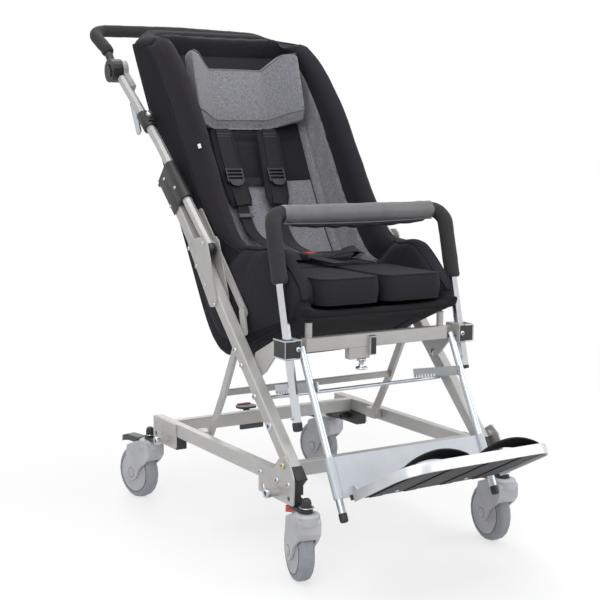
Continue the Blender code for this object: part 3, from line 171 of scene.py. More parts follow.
def moulded(name, colour, roughness, grain=0.25):
    """Moulded plastic or rubber: a spark-eroded grain, slight drift of colour and gloss."""
    look = Look(name, colour, roughness)
    tone = look.drift(look.noise(22.0, 4.0), 0.88, 1.12)
    rough = look.ramp(look.noise(90.0), grey(roughness - 0.07), grey(roughness + 0.07))
    return look.finish(tone, look.noise(1900.0, 2.0), grain, 0.0004, rough)


def metal(name, colour, roughness, streak, cloud=0.05, metallic=1.0):
    """Bare or plated metal: drawn streaks along the stretch axis and a cloudy gloss."""
    look = Look(name, colour, roughness, metallic)
    drawn = look.noise(900.0, where=look.places(streak))
    cloudy = look.noise(26.0)
    low = grey(max(0.02, roughness - cloud))
    rough = look.ramp(look.blend(drawn, cloudy, 0.6), low, grey(roughness + cloud), (0.35, 0.65))
    return look.finish(look.drift(cloudy, 0.92, 1.04), drawn, 0.06, 0.0002, rough)


def foamed(name, colour):
    """Closed-cell foam: small cells in the surface and no gloss."""
    look = Look(name, colour, 0.86, Sheen_Weight=0.04, Sheen_Roughness=0.6, Specular_IOR_Level=0.2)
    return look.finish(look.drift(look.noise(420.0), 0.80, 1.22), look.cells(850.0), 0.35, 0.0006)


def woven(name, dark, light, pitch, mottle, sheen, contrast=0.16):
    """Woven cloth: two sets of fine threads that cross, yarn mottled between two tones."""
    look = Look(name, dark, 0.88, Sheen_Weight=sheen, Sheen_Roughness=0.45, Specular_IOR_Level=0.12)
    cross = look.math("MULTIPLY", look.wave((1.0, 0.35, 0.20), pitch),
                      look.wave((0.15, -0.55, 0.90), pitch * 1.15))
    yarn = look.blend(look.noise(mottle, 4.0, 0.65, look.places((1.0, 1.0, 0.28))),
                      look.noise(mottle * 1.25, 4.0, 0.65, look.places((0.30, 0.8, 1.0))), 0.5)
    tone = look.ramp(yarn, dark, light, (0.5 - contrast, 0.5 + contrast))
    tone = look.mix(look.math("MULTIPLY", cross, 0.35), tone, shade(light, 1.15))
    height = look.math("ADD", cross, look.math("MULTIPLY", look.noise(38.0), 1.6))
    return look.finish(tone, height, 0.32, 0.0007)


def vinyl_skin(name, colour):
    """Coated fabric: leathery grain of small plates with a low gloss."""
    look = Look(name, colour, 0.45, Coat_Weight=0.12, Coat_Roughness=0.35)
    grain = look.ramp(look.cells(620.0, feature="DISTANCE_TO_EDGE"), grey(0.0), grey(1.0), (0.0, 0.12))
    return look.finish(look.drift(look.noise(30.0), 0.90, 1.10), grain, 0.22, 0.0004)


def strap_weave(name, colour):
    """Webbing: ribs along the strap, short herringbone threads and a faint sheen."""
    look = Look(name, colour, 0.62, Sheen_Weight=0.08, Sheen_Roughness=0.4, Specular_IOR_Level=0.22)
    ribs = look.math("MULTIPLY", look.wave((1.0, 0.5, 0.6), 0.0016), look.wave((1.0, -0.5, -0.6), 0.0016))
    return look.finish(look.drift(ribs, 0.6, 1.5, (0.1, 0.8)), ribs, 0.4, 0.0005)


PAINT = painted("frame_paint", (0.42, 0.412, 0.402), 0.30, 0.42)
BLACK = moulded("black_plastic", (0.014, 0.014, 0.0155), 0.48)
CASTER = moulded("caster_grey", (0.42, 0.42, 0.440), 0.46, 0.18)
TYRE = moulded("tyre_grey", (0.260, 0.270, 0.295), 0.60, 0.30)
RED = moulded("pedal_red", (0.52, 0.055, 0.040), 0.42, 0.15)
PEDAL = moulded("pedal_grey", (0.055, 0.056, 0.060), 0.50)
ZINC = metal("zinc", (0.50, 0.535, 0.57), 0.38, (1.0, 1.0, 0.04))
CHROME = metal("chrome", (0.60, 0.615, 0.64), 0.11, (1.0, 1.0, 0.05), 0.04)
SHEET = metal("zinc_sheet", (0.47, 0.50, 0.535), 0.55, (1.0, 1.0, 0.04), metallic=0.3)
ALUMINIUM = metal("aluminium", (0.60, 0.615, 0.63), 0.36, (0.04, 1.0, 1.0), metallic=0.45)
BRASS = metal("brass_zinc", (0.62, 0.50, 0.28), 0.30, (1.0, 1.0, 1.0))
FOAM = foamed("foam", (0.030, 0.029, 0.031))
BLACK_CLOTH = woven("black_fabric", (0.0125, 0.0115, 0.0140), (0.0285, 0.0262, 0.0318), 0.0010, 700.0, 0.03)
# Painted shade: a darker copy of the black fabric for the cover, whose outer sides and back are seen in
# shade.
SHADED_COVER_CLOTH = woven("shaded_cover_fabric", (0.0085, 0.0080, 0.0095), (0.0180, 0.0168, 0.0200), 0.0010, 700.0, 0.02)
GREY_CLOTH = woven("grey_fabric", (0.085, 0.087, 0.098), (0.30, 0.30, 0.325), 0.0012, 520.0, 0.25, 0.13)
VINYL = vinyl_skin("vinyl", (0.105, 0.105, 0.108))
WEBBING = strap_weave("webbing", (0.012, 0.012, 0.014))
TAG = moulded("tag_white", (0.72, 0.72, 0.71), 0.6)
MAT = moulded("mat_black", (0.016, 0.016, 0.017), 0.62, 0.5)

FINISHES = (PAINT, BLACK, CASTER, TYRE, RED, PEDAL, ZINC, CHROME, FOAM, BLACK_CLOTH, GREY_CLOTH, VINYL,
            WEBBING, MAT)
LOOKS = {SLOTS[look.name]: look for look in FINISHES}
for part in frame["record"]["subparts"]:
    data = NODES[part["node"]].data
    data.materials.clear()
    data.materials.append(SHEET if part["node"].startswith("calf_panel") else LOOKS[part["material_slot"]])


# Forms

CRISP = radians(38)  # an edge that turns more than this is not smoothed over


def piece(name, bm, look, body, smooth=True):
    """Turns a bmesh into a named object that rides on a body and takes a finish."""
    bmesh.ops.recalc_face_normals(bm, faces=bm.faces)
    mesh = bpy.data.meshes.new(name)
    bm.to_mesh(mesh)
    bm.free()
    made = bpy.data.objects.new(name, mesh)
    scene.collection.objects.link(made)
    mesh.materials.append(look)
    if smooth:
        mesh.shade_smooth()
        mesh.set_sharp_from_angle(angle=CRISP)
    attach(made, body)
    return made


def grid_faces(bm, rows, cyclic=False):
    """Faces between neighbouring rows of vertices."""
    for near, far in zip(rows, rows[1:]):
        count = len(near)
        for index in range(count if cyclic else count - 1):
            after = (index + 1) % count
            bm.faces.new((near[index], near[after], far[after], far[index]))


def skinned(rings, bm=None):
    """A closed body through closed rings of points, with a flat face on each end."""
    bm = bm or bmesh.new()
    rows = [[bm.verts.new(place) for place in ring] for ring in rings]
    grid_faces(bm, rows, cyclic=True)
    bm.faces.new(rows[0])
    bm.faces.new(rows[-1])
    return bm


def smooth_route(points, steps=6):
    """A smooth curve through the points."""
    spots = [Vector(p) for p in points]
    out = []
    for index in range(len(spots) - 1):
        a, b = spots[index], spots[index + 1]
        before = spots[index - 1] if index else a * 2 - b
        after = spots[index + 2] if index + 2 < len(spots) else b * 2 - a
        for step in range(steps):
            t = step / steps
            out.append(0.5 * (2 * a + (b - before) * t + (2 * before - 5 * a + 4 * b - after) * t * t
                              + (3 * a - before - 3 * b + after) * t ** 3))
    out.append(spots[-1])
    return out


def heading(route, index):
    """The direction of a route at one of its points."""
    return (route[min(index + 1, len(route) - 1)] - route[max(index - 1, 0)]).normalized()


def circle(steps):
    return [(cos(2 * pi * step / steps), sin(2 * pi * step / steps)) for step in range(steps)]


def tube_rings(route, radius, sides=10):
    """Rings of a tube along a route; the turn of each ring follows the one before it."""
    rings = []
    side = None
    for index, place in enumerate(route):
        along = heading(route, index)
        if side is None:
            side = along.orthogonal().normalized()
        side = (side - along * side.dot(along)).normalized()
        up = along.cross(side)
        reach = radius(index / (len(route) - 1)) if callable(radius) else radius
        rings.append([place + side * (reach * c) + up * (reach * s) for c, s in circle(sides)])
    return rings


def piping(name, route, radius, look, body, sides=8):
    """A thin welt or cord that follows a route."""
    return piece(name, skinned(tube_rings(route, radius, sides)), look, body)


def lathe(profile, place, axis, steps=32, bm=None):
    """A turned body: half section of (radius, height) from one pole or rim to the other about an axis."""
    bm = bm or bmesh.new()
    turn = Vector(axis).to_track_quat("Z", "Y")
    rows = [[bm.verts.new(Vector(place) + turn @ Vector((radius * c, radius * s, height)))
             for c, s in circle(steps)] for radius, height in profile]
    closed = profile[0] == profile[-1]
    if closed:
        for vert in rows[-1]:
            bm.verts.remove(vert)
        rows[-1] = rows[0]
    grid_faces(bm, rows, cyclic=True)
    if not closed:
        bm.faces.new(rows[0])
        bm.faces.new(rows[-1])
    return bm


def mm(*pairs):
    """Pairs given in millimetres, in metres."""
    return [(a / 1000, b / 1000) for a, b in pairs]


def block(bm, centre, size, turn=None, bevel=0.0):
    """Adds a block with rounded edges to a bmesh."""
    part = bmesh.new()
    bmesh.ops.create_cube(part, size=1.0)
    bmesh.ops.scale(part, vec=size, verts=part.verts)
    bmesh.ops.bevel(part, geom=part.edges[:], offset=bevel, segments=3, affect="EDGES", profile=0.6)
    place = Matrix.Translation(centre) @ (turn.to_4x4() if turn else Matrix.Identity(4))
    bmesh.ops.transform(part, matrix=place, verts=part.verts)
    mesh = bpy.data.meshes.new("part")
    part.to_mesh(mesh)
    part.free()
    bm.from_mesh(mesh)
    bpy.data.meshes.remove(mesh)


def blocks(name, look, body, *parts, turn=None):
    """One piece made of blocks, each given by its middle, its size and the round of its edges."""
    bm = bmesh.new()
    for centre, size, bevel in parts:
        block(bm, centre, size, turn, bevel)
    return piece(name, bm, look, body)


# Studio

def camera():
    """The photograph's viewpoint: place, yaw, pitch and roll solved from the object's straight edges."""
    yaw, pitch, roll = 0.5584, 0.1362, 0.0085
    focal, width, film = 1268.73, 600.0, 36.0
    forward = Vector((sin(yaw) * cos(pitch), cos(yaw) * cos(pitch), -sin(pitch)))
    right = Vector((cos(yaw), -sin(yaw), 0.0))
    up = right.cross(forward)
    across = right * cos(roll) + up * sin(roll)
    over = up * cos(roll) - right * sin(roll)
    lens = bpy.data.cameras.new("camera")
    lens.sensor_width = film
    lens.lens = film * focal / width
    made = bpy.data.objects.new("camera", lens)
    turn = Matrix((across, over, -forward)).transposed().to_4x4()
    made.matrix_world = Matrix.Translation(at(-1.5214, -2.0067, 0.8912)) @ turn
    scene.collection.objects.link(made)
    scene.camera = made


def lamp(name, place, size, power):
    """A large soft box that faces the middle of the stroller."""
    data = bpy.data.lights.new(name, "AREA")
    data.shape = "DISK"
    data.size = size
    data.energy = power
    made = bpy.data.objects.new(name, data)
    made.location = place
    made.rotation_mode = "QUATERNION"
    made.rotation_quaternion = (Vector((0.0, 0.0, 0.55)) - Vector(place)).to_track_quat("-Z", "Y")
    scene.collection.objects.link(made)


def seen_directly(tree):
    """1 for rays from the camera, from gloss and through glass, which meet the white background."""
    path = add(tree, "ShaderNodeLightPath").outputs
    first = math_node(tree, "MAXIMUM", path["Is Camera Ray"], path["Is Glossy Ray"])
    return math_node(tree, "MAXIMUM", first, path["Is Transmission Ray"])


def mixed_surface(tree, share, first, second, output):
    mixed = add(tree, "ShaderNodeMixShader", {0: share, 1: first.outputs[0], 2: second.outputs[0]})
    tree.links.new(mixed.outputs[0], tree.nodes[output].inputs["Surface"])


def studio():
    """White surroundings, a white floor that takes soft shadows and fades out, and four soft boxes."""
    white = {"Color": (1, 1, 1, 1), "Strength": 1.0}
    world = bpy.data.worlds.new("studio")
    scene.world = world
    world.use_nodes = True
    tree = world.node_tree
    soft = tree.nodes["Background"]
    soft.inputs["Color"].default_value = (0.95, 0.97, 1.0, 1.0)
    soft.inputs["Strength"].default_value = 0.36
    mixed_surface(tree, seen_directly(tree), soft, add(tree, "ShaderNodeBackground", white), "World Output")

    look = Look("floor", (0.86, 0.86, 0.865), 0.85)
    tree = look.tree
    tone = look.ramp(look.noise(1.2), (0.85, 0.85, 0.855), (0.87, 0.87, 0.875))
    tree.links.new(tone, look.shader.inputs["Base Color"])
    where = look.add("NewGeometry").outputs["Position"]
    far = look.add("VectorMath", {0: where}, operation="LENGTH").outputs["Value"]
    fade = {"Value": far, "From Min": 0.9, "From Max": 2.6, "To Min": 0.66, "To Max": 1.0}
    fade = look.add("MapRange", fade, interpolation_type="SMOOTHSTEP").outputs["Result"]
    share = look.math("MULTIPLY", seen_directly(tree), fade)
    mixed_surface(tree, share, look.shader, look.add("Emission", white), "Material Output")
    bm = bmesh.new()
    bmesh.ops.create_grid(bm, x_segments=8, y_segments=8, size=60.0)
    mesh = bpy.data.meshes.new("floor")
    bm.to_mesh(mesh)
    bm.free()
    ground = bpy.data.objects.new("floor", mesh)
    ground.location = (0, 0, -0.0005)
    mesh.materials.append(look.made)
    scene.collection.objects.link(ground)

    lamp("key", (-2.6, -2.6, 3.0), 3.4, 92)
    lamp("fill", (2.8, -2.2, 1.9), 3.2, 52)
    lamp("rim", (0.8, 2.8, 2.6), 2.0, 46)
    lamp("over", (0.0, -0.4, 3.6), 3.8, 66)
    scene.view_settings.view_transform = "Standard"


camera()
studio()


# Seat upholstery

SHELL_HALF = 0.2185
SHELL_LOW = 0.2015
WING_T = 0.030
SECTIONS = [
    ((0.852, 1.112), (0.766, 1.104), (0.888, 1.122), SHELL_HALF - 0.006),
    ((0.836, 1.090), (0.745, 1.088), (0.882, 1.105), SHELL_HALF),
    ((0.796, 1.030), (0.690, 1.055), (0.852, 1.050), SHELL_HALF),
    ((0.748, 0.940), (0.620, 0.990), (0.796, 0.955), SHELL_HALF),
    ((0.714, 0.869), (0.552, 0.907), (0.750, 0.880), SHELL_HALF),
    ((0.670, 0.774), (0.485, 0.800), (0.694, 0.785), SHELL_HALF),
    ((0.624, 0.686), (0.426, 0.716), (0.640, 0.702), SHELL_HALF),
    ((0.572, 0.600), (0.372, 0.655), (0.588, 0.618), SHELL_HALF - 0.001),
    ((0.510, 0.530), (0.335, 0.640), (0.542, 0.526), SHELL_HALF - 0.006),
    ((0.430, 0.503), (0.300, 0.641), (0.484, 0.426), SHELL_LOW + 0.009),
    ((0.350, 0.499), (0.262, 0.642), (0.424, 0.382), SHELL_LOW + 0.007),
    ((0.270, 0.507), (0.221, 0.630), (0.300, 0.434), SHELL_LOW + 0.004),
    ((0.190, 0.513), (0.172, 0.592), (0.200, 0.476), SHELL_LOW),
    ((0.136, 0.518), (0.134, 0.552), (0.136, 0.505), SHELL_LOW),
    ((0.114, 0.522), (0.112, 0.534), (0.115, 0.510), SHELL_LOW - 0.003),
]
LAST = len(SECTIONS) - 1
AROUND = 18
LEAN = radians(25.7)
BACK_UP = Vector((0, sin(LEAN), cos(LEAN)))
BACK_FORWARD = Vector((0, -cos(LEAN), sin(LEAN)))


def ripple(*seeds):
    """A smooth wandering value between about -1 and 1, the same for the same seeds."""
    a, b, c = seeds
    return (sin(a * 1.7 + 1.3 * sin(b * 0.9 + c)) + 0.6 * sin(a * 3.1 - b * 2.3 + c * 1.9)
            + 0.4 * sin(a * 5.3 + b * 4.1 - c)) / 2.0


def smooth_step(low, high, value):
    t = min(max((value - low) / (high - low), 0.0), 1.0)
    return t * t * (3 - 2 * t)


def hump(value, a, b, c, d):
    """Rises from 0 to 1 between a and b and falls back between c and d."""
    return smooth_step(a, b, value) * (1 - smooth_step(c, d, value))


def between(a, b, part):
    return tuple(p + (q - p) * part for p, q in zip(a, b))


def section_ring(inner, edge, outer, half):
    """One U section: from its inner middle over the left wing's edge, round the outside to the right wing."""
    face = half - WING_T
    left = [(face * 0.55, *inner), (face * 0.97, *between(inner, edge, 0.14)),
            (face, *between(inner, edge, 0.78)),
            (half - WING_T / 2, *between(inner, edge, 1.03)), (half, *between(edge, outer, 0.12)),
            (half, *between(edge, outer, 0.88)), (half * 0.96, *between(edge, outer, 1.08)),
            (half * 0.50, *between(edge, outer, 1.10))]
    right = [(-x, y, z) for x, y, z in reversed(left)]
    return [at(*p) for p in [(0.0, *inner), *left, (0.0, *between(edge, outer, 1.10)), *right]]


NET = [section_ring(*section) for section in SECTIONS]
NET = [[a * 2 - b for a, b in zip(NET[0], NET[1])]] + NET + [[a * 2 - b for a, b in zip(NET[-1], NET[-2])]]


def weights(t):
    """Cubic spline weights of four neighbours."""
    return ((1 - t) ** 3 / 6, (3 * t ** 3 - 6 * t * t + 4) / 6,
            (-3 * t ** 3 + 3 * t * t + 3 * t + 1) / 6, t ** 3 / 6)


def skin(u, v):
    """A place on the shell: u counts sections from the top, v counts ring points from the inner middle."""
    u = min(max(u, 0.0), LAST)
    row = min(int(u), LAST - 1)
    column = floor(v)
    place = Vector()
    across = weights(v - column)
    for i, a in enumerate(weights(u - row)):
        ring = NET[row + i]
        for j, b in enumerate(across):
            place += ring[(column - 1 + j) % AROUND] * (a * b)
    corner = smooth_step(0.15, 0.215, abs(place.x))
    side = abs((v + AROUND / 2) % AROUND - AROUND / 2)
    drop = 0.006 * (1 - smooth_step(0.0, 1.3, u)) + 0.009 * corner * (1 - smooth_step(0.0, 2.2, u))
    drop += 0.026 * corner * (1 - smooth_step(0.0, 1.8, u)) * smooth_step(3.7, 5.0, side)
    inward = hump(u, 8.6, 9.8, 12.8, 13.8) * hump(side, 1.9, 2.8, 3.7, 4.6)
    crest = hump(u, 9.6, 11.2, 12.9, 13.9) * hump(side, 2.6, 3.6, 4.5, 5.6)
    place += Vector((-copysign(0.017, place.x) * inward, -0.004 * crest, 0.016 * crest))
    return place - BACK_UP * drop


def skin_normal(u, v):
    """The outward direction of the shell's surface."""
    step = 0.04
    along = skin(min(u + step, LAST), v) - skin(max(u - step, 0.0), v)
    across = skin(u, v + step) - skin(u, v - step)
    return along.cross(across).normalized()


def lifted(u, v, height):
    return skin(u, v) + skin_normal(u, v) * height


def pillow(s, t, sharp=6):
    """A crowned cross-section: 0 on the border of a unit square and 1 over its middle."""
    return (1 - abs(2 * s - 1) ** sharp) * (1 - abs(2 * t - 1) ** sharp)


def quad(a, b, c, d):
    """Spreads a unit square over four corners given as (u, v)."""
    def spread(s, t):
        return between(between(a, b, t), between(c, d, t), s)
    return spread


def strip_between(first, second, steps):
    """Spreads a unit square between two lines of (u, v): s along them, t from the first to the second."""
    lines = [smooth_route([Vector((*spot, 0.0)) for spot in line], steps) for line in (first, second)]

    def spread(s, t):
        spots = []
        for line in lines:
            index = min(int(s * (len(line) - 1)), len(line) - 2)
            spots.append(line[index].lerp(line[index + 1], s * (len(line) - 1) - index))
        spot = spots[0].lerp(spots[1], t)
        return spot.x, spot.y
    return spread


def border(rows):
    """The points round the edge of a grid, in order."""
    return rows[0][:-1] + [row[-1] for row in rows[:-1]] + rows[-1][:0:-1] + [row[0] for row in rows[:0:-1]]


def sheet(counts, places):
    """A closed body between two grids of points: places(s, t) gives one of each over the unit square."""
    bm = bmesh.new()
    top, bottom = [], []
    for i in range(counts[0] + 1):
        pairs = [[bm.verts.new(place) for place in places(i / counts[0], j / counts[1])]
                 for j in range(counts[1] + 1)]
        top.append([pair[0] for pair in pairs])
        bottom.append([pair[1] for pair in pairs])
    grid_faces(bm, top)
    grid_faces(bm, bottom)
    grid_faces(bm, [border(top), border(bottom)], cyclic=True)
    return bm


PANEL_SINK = 0.0035


def panel(name, look, spread, counts, height):
    """A sewn panel on the shell: spread gives (u, v) over the unit square and height its lift there."""
    def places(s, t):
        u, v = spread(s, t)
        place, normal = skin(u, v), skin_normal(u, v)
        return place + normal * height(s, t, u, v), place - normal * PANEL_SINK
    piece(name, sheet(counts, places), look, "seat")


def rounded_end(bm, rows, outward, rise):
    """Closes one end of the shell with a roll: each inner point meets its outer partner over the top."""
    edge = [vert.co.copy() for vert in rows[-1]]
    count = len(edge)
    half = count // 2
    partner = [(half - j) % count for j in range(count)]
    added = [rows[-1]]
    for share, lift in ((0.10, 0.45), (0.32, 0.80), (0.62, 0.97), (0.90, 1.0)):
        ring = [bm.verts.new(edge[j].lerp((edge[j] + edge[partner[j]]) / 2, share) + outward * (rise * lift))
                for j in range(count)]
        added.append(ring)
    grid_faces(bm, added, cyclic=True)
    last = added[-1]
    for start in (0, half):
        for j in range(start, start + half // 2):
            four = [last[j], last[j + 1], last[partner[j + 1]], last[partner[j]]]
            if len(set(four)) == 4:
                bm.faces.new(four)


def cover():
    """The padded black cover over the whole shell, rounded over its top and its front edge, in a darker copy
    of the black fabric as painted shade.
    """
    fine = 5  # mesh steps from one section or ring point to the next
    bm = bmesh.new()
    rows = []
    for i in range(LAST * fine + 1):
        u = i / fine
        rows.append([bm.verts.new(lifted(u, j / fine, 0.0012 * ripple(u * 2.2, j * 0.32, 0.7)))
                     for j in range(AROUND * fine)])
    grid_faces(bm, rows, cyclic=True)
    rounded_end(bm, rows[::-1], Vector((0, 0.33, 0.94)), 0.009)
    rounded_end(bm, rows, Vector((0, -1, 0)), 0.012)
    made = piece("seat_cover", bm, SHADED_COVER_CLOTH, "seat")
    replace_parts(made, "seat_shell")


def seam(name, first, last, radius=0.0016, lift=0.0012, look=BLACK_CLOTH, steps=40):
    """Piping straight over the shell from one (u, v) to another."""
    route = [lifted(*between(first, last, i / steps), lift) for i in range(steps + 1)]
    piping(name, route, radius, look, "seat")


PANEL_IN = 1.74
RIM_IN = [(9.3, -2.62), (8.0, -2.62), (6.0, -2.62), (4.0, -2.62), (2.6, -2.58), (1.95, -2.42), (1.62, -2.05),
          (1.52, -1.60), (1.50, -0.80)]
RIM_OUT = [(9.3, -4.66), (8.0, -4.72), (6.6, -5.05), (4.8, -5.26), (2.6, -5.26), (1.20, -5.20), (0.42, -4.85),
           (0.08, -3.30), (0.03, -1.40)]


def mirrored(line, middle):
    """A line of (u, v) up the right side, over its middle and down the left side."""
    return [*line, middle, *[(u, -v) for u, v in reversed(line)]]


def upholstery():
    """Sewn panels on the cover: rim roll round the back, hip pads, grey wings and lower back, upper back."""
    cover()
    rim = strip_between(mirrored(RIM_IN, (1.50, 0.0)), mirrored(RIM_OUT, (0.03, 0.0)), 10)

    def rim_height(s, t, u, v):
        over_top = hump(s, 0.40, 0.44, 0.56, 0.60)
        pitch = 150.0 + 40.0 * over_top
        gathers = (0.0006 + 0.0014 * over_top) * sin(s * pitch + 1.6 * sin(s * 37.0))
        edge = exp(-((t - 0.12) / 0.12) ** 2) + exp(-((t - 0.88) / 0.12) ** 2)
        stitched = 0.0030 * exp(-((t - 0.60) / 0.030) ** 2) * (1 - over_top)
        corner = exp(-((abs(s - 0.5) - 0.100) / 0.045) ** 2)
        outer = 0.0060 * smooth_step(0.50, 0.68, t) * (1 - over_top) * (1 - corner)
        inner = (0.0150 + 0.0010 * over_top) * exp(-((t - 0.32) / 0.22) ** 2) * pillow(s, t, 5)
        full = 0.0135 + 0.0020 * over_top + 0.0060 * corner - outer
        return (-0.0012 + full * pillow(s, t, 2.6) ** 0.62 + inner - stitched
                + gathers * (0.4 + 0.6 * edge) * pillow(s, t, 5) + 0.0006 * ripple(u * 3, v * 2, 0.4))
    panel("rim_roll", BLACK_CLOTH, rim, (250, 26), rim_height)
    for name, t, lift, radius in (("in", 0.02, 0.0012, 0.0016), ("out", 0.98, 0.0014, 0.0017)):
        route = [lifted(*rim(0.005 + 0.990 * i / 190, t), lift) for i in range(191)]
        piping("rim_piping_" + name, route, radius, BLACK_CLOTH, "seat")
    for side, name in SIDES.items():
        at_s = 0.423 if side < 0 else 0.577
        spots = [(0.05 + 0.04 * k, *rim(at_s, 0.05 + 0.04 * k)) for k in range(23)]
        route = [lifted(u, v, rim_height(at_s, t, u, v) + 0.0001) for t, u, v in spots]
        piping("top_seam." + name, route, 0.0010, BLACK_CLOTH, "seat", 6)

        def wing_height(s, t, u, v):
            slack = hump(s, 0.10, 0.35, 0.80, 1.0)
            folds = sin(u * 10.0 + abs(v) * 11.0 + 1.6 * ripple(u * 1.3, v, 2.0))
            fine = sin(u * 23.0 + abs(v) * 17.0 + 2.0 * ripple(u, v * 2, 0.5))
            crease = 0.0030 * exp(-((abs(v) - 2.04) / 0.055) ** 2)
            return 0.0016 + (0.0050 + (0.0022 * folds + 0.0008 * fine) * slack - crease) * pillow(s, t, 8)
        wing = quad((1.60, side * PANEL_IN), (1.60, side * 2.70), (8.7, side * PANEL_IN), (8.7, side * 2.70))
        panel("wing_panel." + name, GREY_CLOTH, wing, (120, 30), wing_height)
        seam("wing_seam." + name, (1.9, side * 2.04), (8.5, side * 2.04), 0.0010, 0.0034, look=GREY_CLOTH)
        seam("back_seam." + name, (1.6, side * PANEL_IN), (8.4, side * PANEL_IN), 0.0013, 0.0024)
        seam("side_seam." + name, (0.9, side * 6.6), (13.2, side * 6.6), 0.0013, 0.0006)
        seam("back_line." + name, (0.7, side * 7.7), (12.4, side * 7.7), 0.0015, 0.0006)

        def hip_height(s, t, u, v):
            pucker = 0.0003 * sin(u * 9.0 + 2.0 * sin(u * 3.0)) * pillow(s, t, 8)
            full = 0.0095 - 0.0065 * smooth_step(10.6, 12.2, u) * smooth_step(3.9, 4.5, abs(v))
            return 0.0008 + full * pillow(s, t, 3.0) ** 0.7 + pucker + 0.0007 * ripple(u * 1.4, v * 1.3, side)

        def band_height(s, t, u, v):
            return 0.0052 + 0.0022 * pillow(s, t, 3)
        inside = quad((8.75, side * 2.30), (8.75, side * 3.72), (13.3, side * 2.50), (13.5, side * 3.72))
        outside = quad((8.60, side * 4.28), (8.20, side * 6.20), (13.5, side * 4.28), (13.2, side * 6.20))
        band = quad((8.55, side * 3.72), (8.55, side * 4.28), (13.55, side * 3.72), (13.55, side * 4.28))
        panel("hip_inside." + name, BLACK_CLOTH, inside, (60, 20), hip_height)
        panel("hip_outside." + name, BLACK_CLOTH, outside, (60, 26), hip_height)
        panel("hip_band." + name, BLACK_CLOTH, band, (60, 12), band_height)
        for mark, v in (("in", 3.70), ("out", 4.30)):
            seam("hip_piping_%s.%s" % (mark, name), (8.6, side * v), (13.5, side * v), 0.0018, 0.0052)
        route = [lifted(*outside(0.0, k / 24), 0.0012 if k else 0.0040) for k in range(25)]
        piping("hip_border." + name, route, 0.0015, BLACK_CLOTH, "seat")

    def upper_height(s, t, u, v):
        channel = sum(0.0050 * exp(-((u - line) / 0.07) ** 2) for line in (2.45, 3.30, 4.15))
        pucker = 0.0007 * sin(v * 26.0 + u) * pillow(s, t, 6)
        return 0.0016 + (0.0072 - channel + pucker + 0.0005 * ripple(u * 4, v * 3, 0.2)) * pillow(s, t, 8)
    panel("back_upper", BLACK_CLOTH,
          quad((1.50, -PANEL_IN), (1.50, PANEL_IN), (5.15, -PANEL_IN), (5.15, PANEL_IN)), (70, 44),
          upper_height)

    def lower_height(s, t, u, v):
        folds = 0.0009 * sin(u * 6.0 + v * 3.0 + ripple(u, v, 3.0))
        return 0.0016 + (0.0042 + folds) * pillow(s, t, 8)
    panel("back_lower", GREY_CLOTH,
          quad((5.20, -PANEL_IN), (5.20, PANEL_IN), (8.70, -PANEL_IN), (8.70, PANEL_IN)), (46, 30),
          lower_height)
    seam("back_piping", (5.175, -PANEL_IN), (5.175, PANEL_IN), 0.0016, 0.0026, steps=24)
    seam("back_cross", (8.4, 6.62), (8.4, 11.38), 0.0015, 0.0006, steps=24)


upholstery()


# Cushions

CLOTH_FRAMES = 20


def swell(made, cap, pins):
    """Blows a closed mesh up as stuffed cloth; pins are the seams, and no point moves more than the cap."""
    mesh = made.data
    start = [vert.co.copy() for vert in mesh.vertices]
    cloth = made.modifiers.new("stuffing", "CLOTH")
    settings = cloth.settings
    settings.quality = 4
    settings.mass = 0.25
    settings.tension_stiffness = 12
    settings.compression_stiffness = 12
    settings.bending_stiffness = 0.4
    settings.use_pressure = True
    settings.uniform_pressure_force = 4.0
    settings.effector_weights.gravity = 0
    cloth.point_cache.frame_start = 1
    cloth.point_cache.frame_end = CLOTH_FRAMES
    made.vertex_groups.new(name="seams").add(pins, 1.0, "REPLACE")
    settings.vertex_group_mass = "seams"
    for number in range(1, CLOTH_FRAMES + 1):
        scene.frame_set(number)
    result = made.evaluated_get(bpy.context.evaluated_depsgraph_get()).to_mesh()
    for vert, origin, moved in zip(mesh.vertices, start, [v.co.copy() for v in result.vertices]):
        step = moved - origin
        vert.co = origin + step * min(1.0, cap / max(step.length, 1e-9))
    made.modifiers.clear()
    scene.frame_set(1)
    smooth = made.modifiers.new("finish", "SUBSURF")
    smooth.levels = 1
    smooth.render_levels = 1
    made.data = bpy.data.meshes.new_from_object(made.evaluated_get(bpy.context.evaluated_depsgraph_get()))
    made.modifiers.clear()
    made.vertex_groups.clear()


def grid_block(size, centre, cuts, shape):
    """A block of small quads, its points moved by shape(unit place); gives the bmesh and its edge points."""
    bm = bmesh.new()
    bmesh.ops.create_cube(bm, size=2.0)
    bmesh.ops.subdivide_edges(bm, edges=bm.edges[:], cuts=cuts, use_grid_fill=True)
    seams = []
    for vert in bm.verts:
        unit = vert.co.copy()
        if sum(abs(abs(c) - 1) < 1e-4 for c in unit) >= 2:
            seams.append(vert.index)
        moved = shape(unit)
        vert.co = Vector(centre) + Vector(m * s / 2 for m, s in zip(moved, size))
    return bm, seams


def round_plan(unit):
    """Rounds a block's upright corners and draws its sides in a little towards the top and bottom seams."""
    power, ends = 7.0, 0.965
    x, y, z = unit
    fit = 1.0 / max((abs(x) ** power + abs(y) ** power) ** (1 / power), 1.0)
    wide = ends + (1 - ends) * (1 - z * z)
    return Vector((x * fit * wide, y * fit * wide, z))


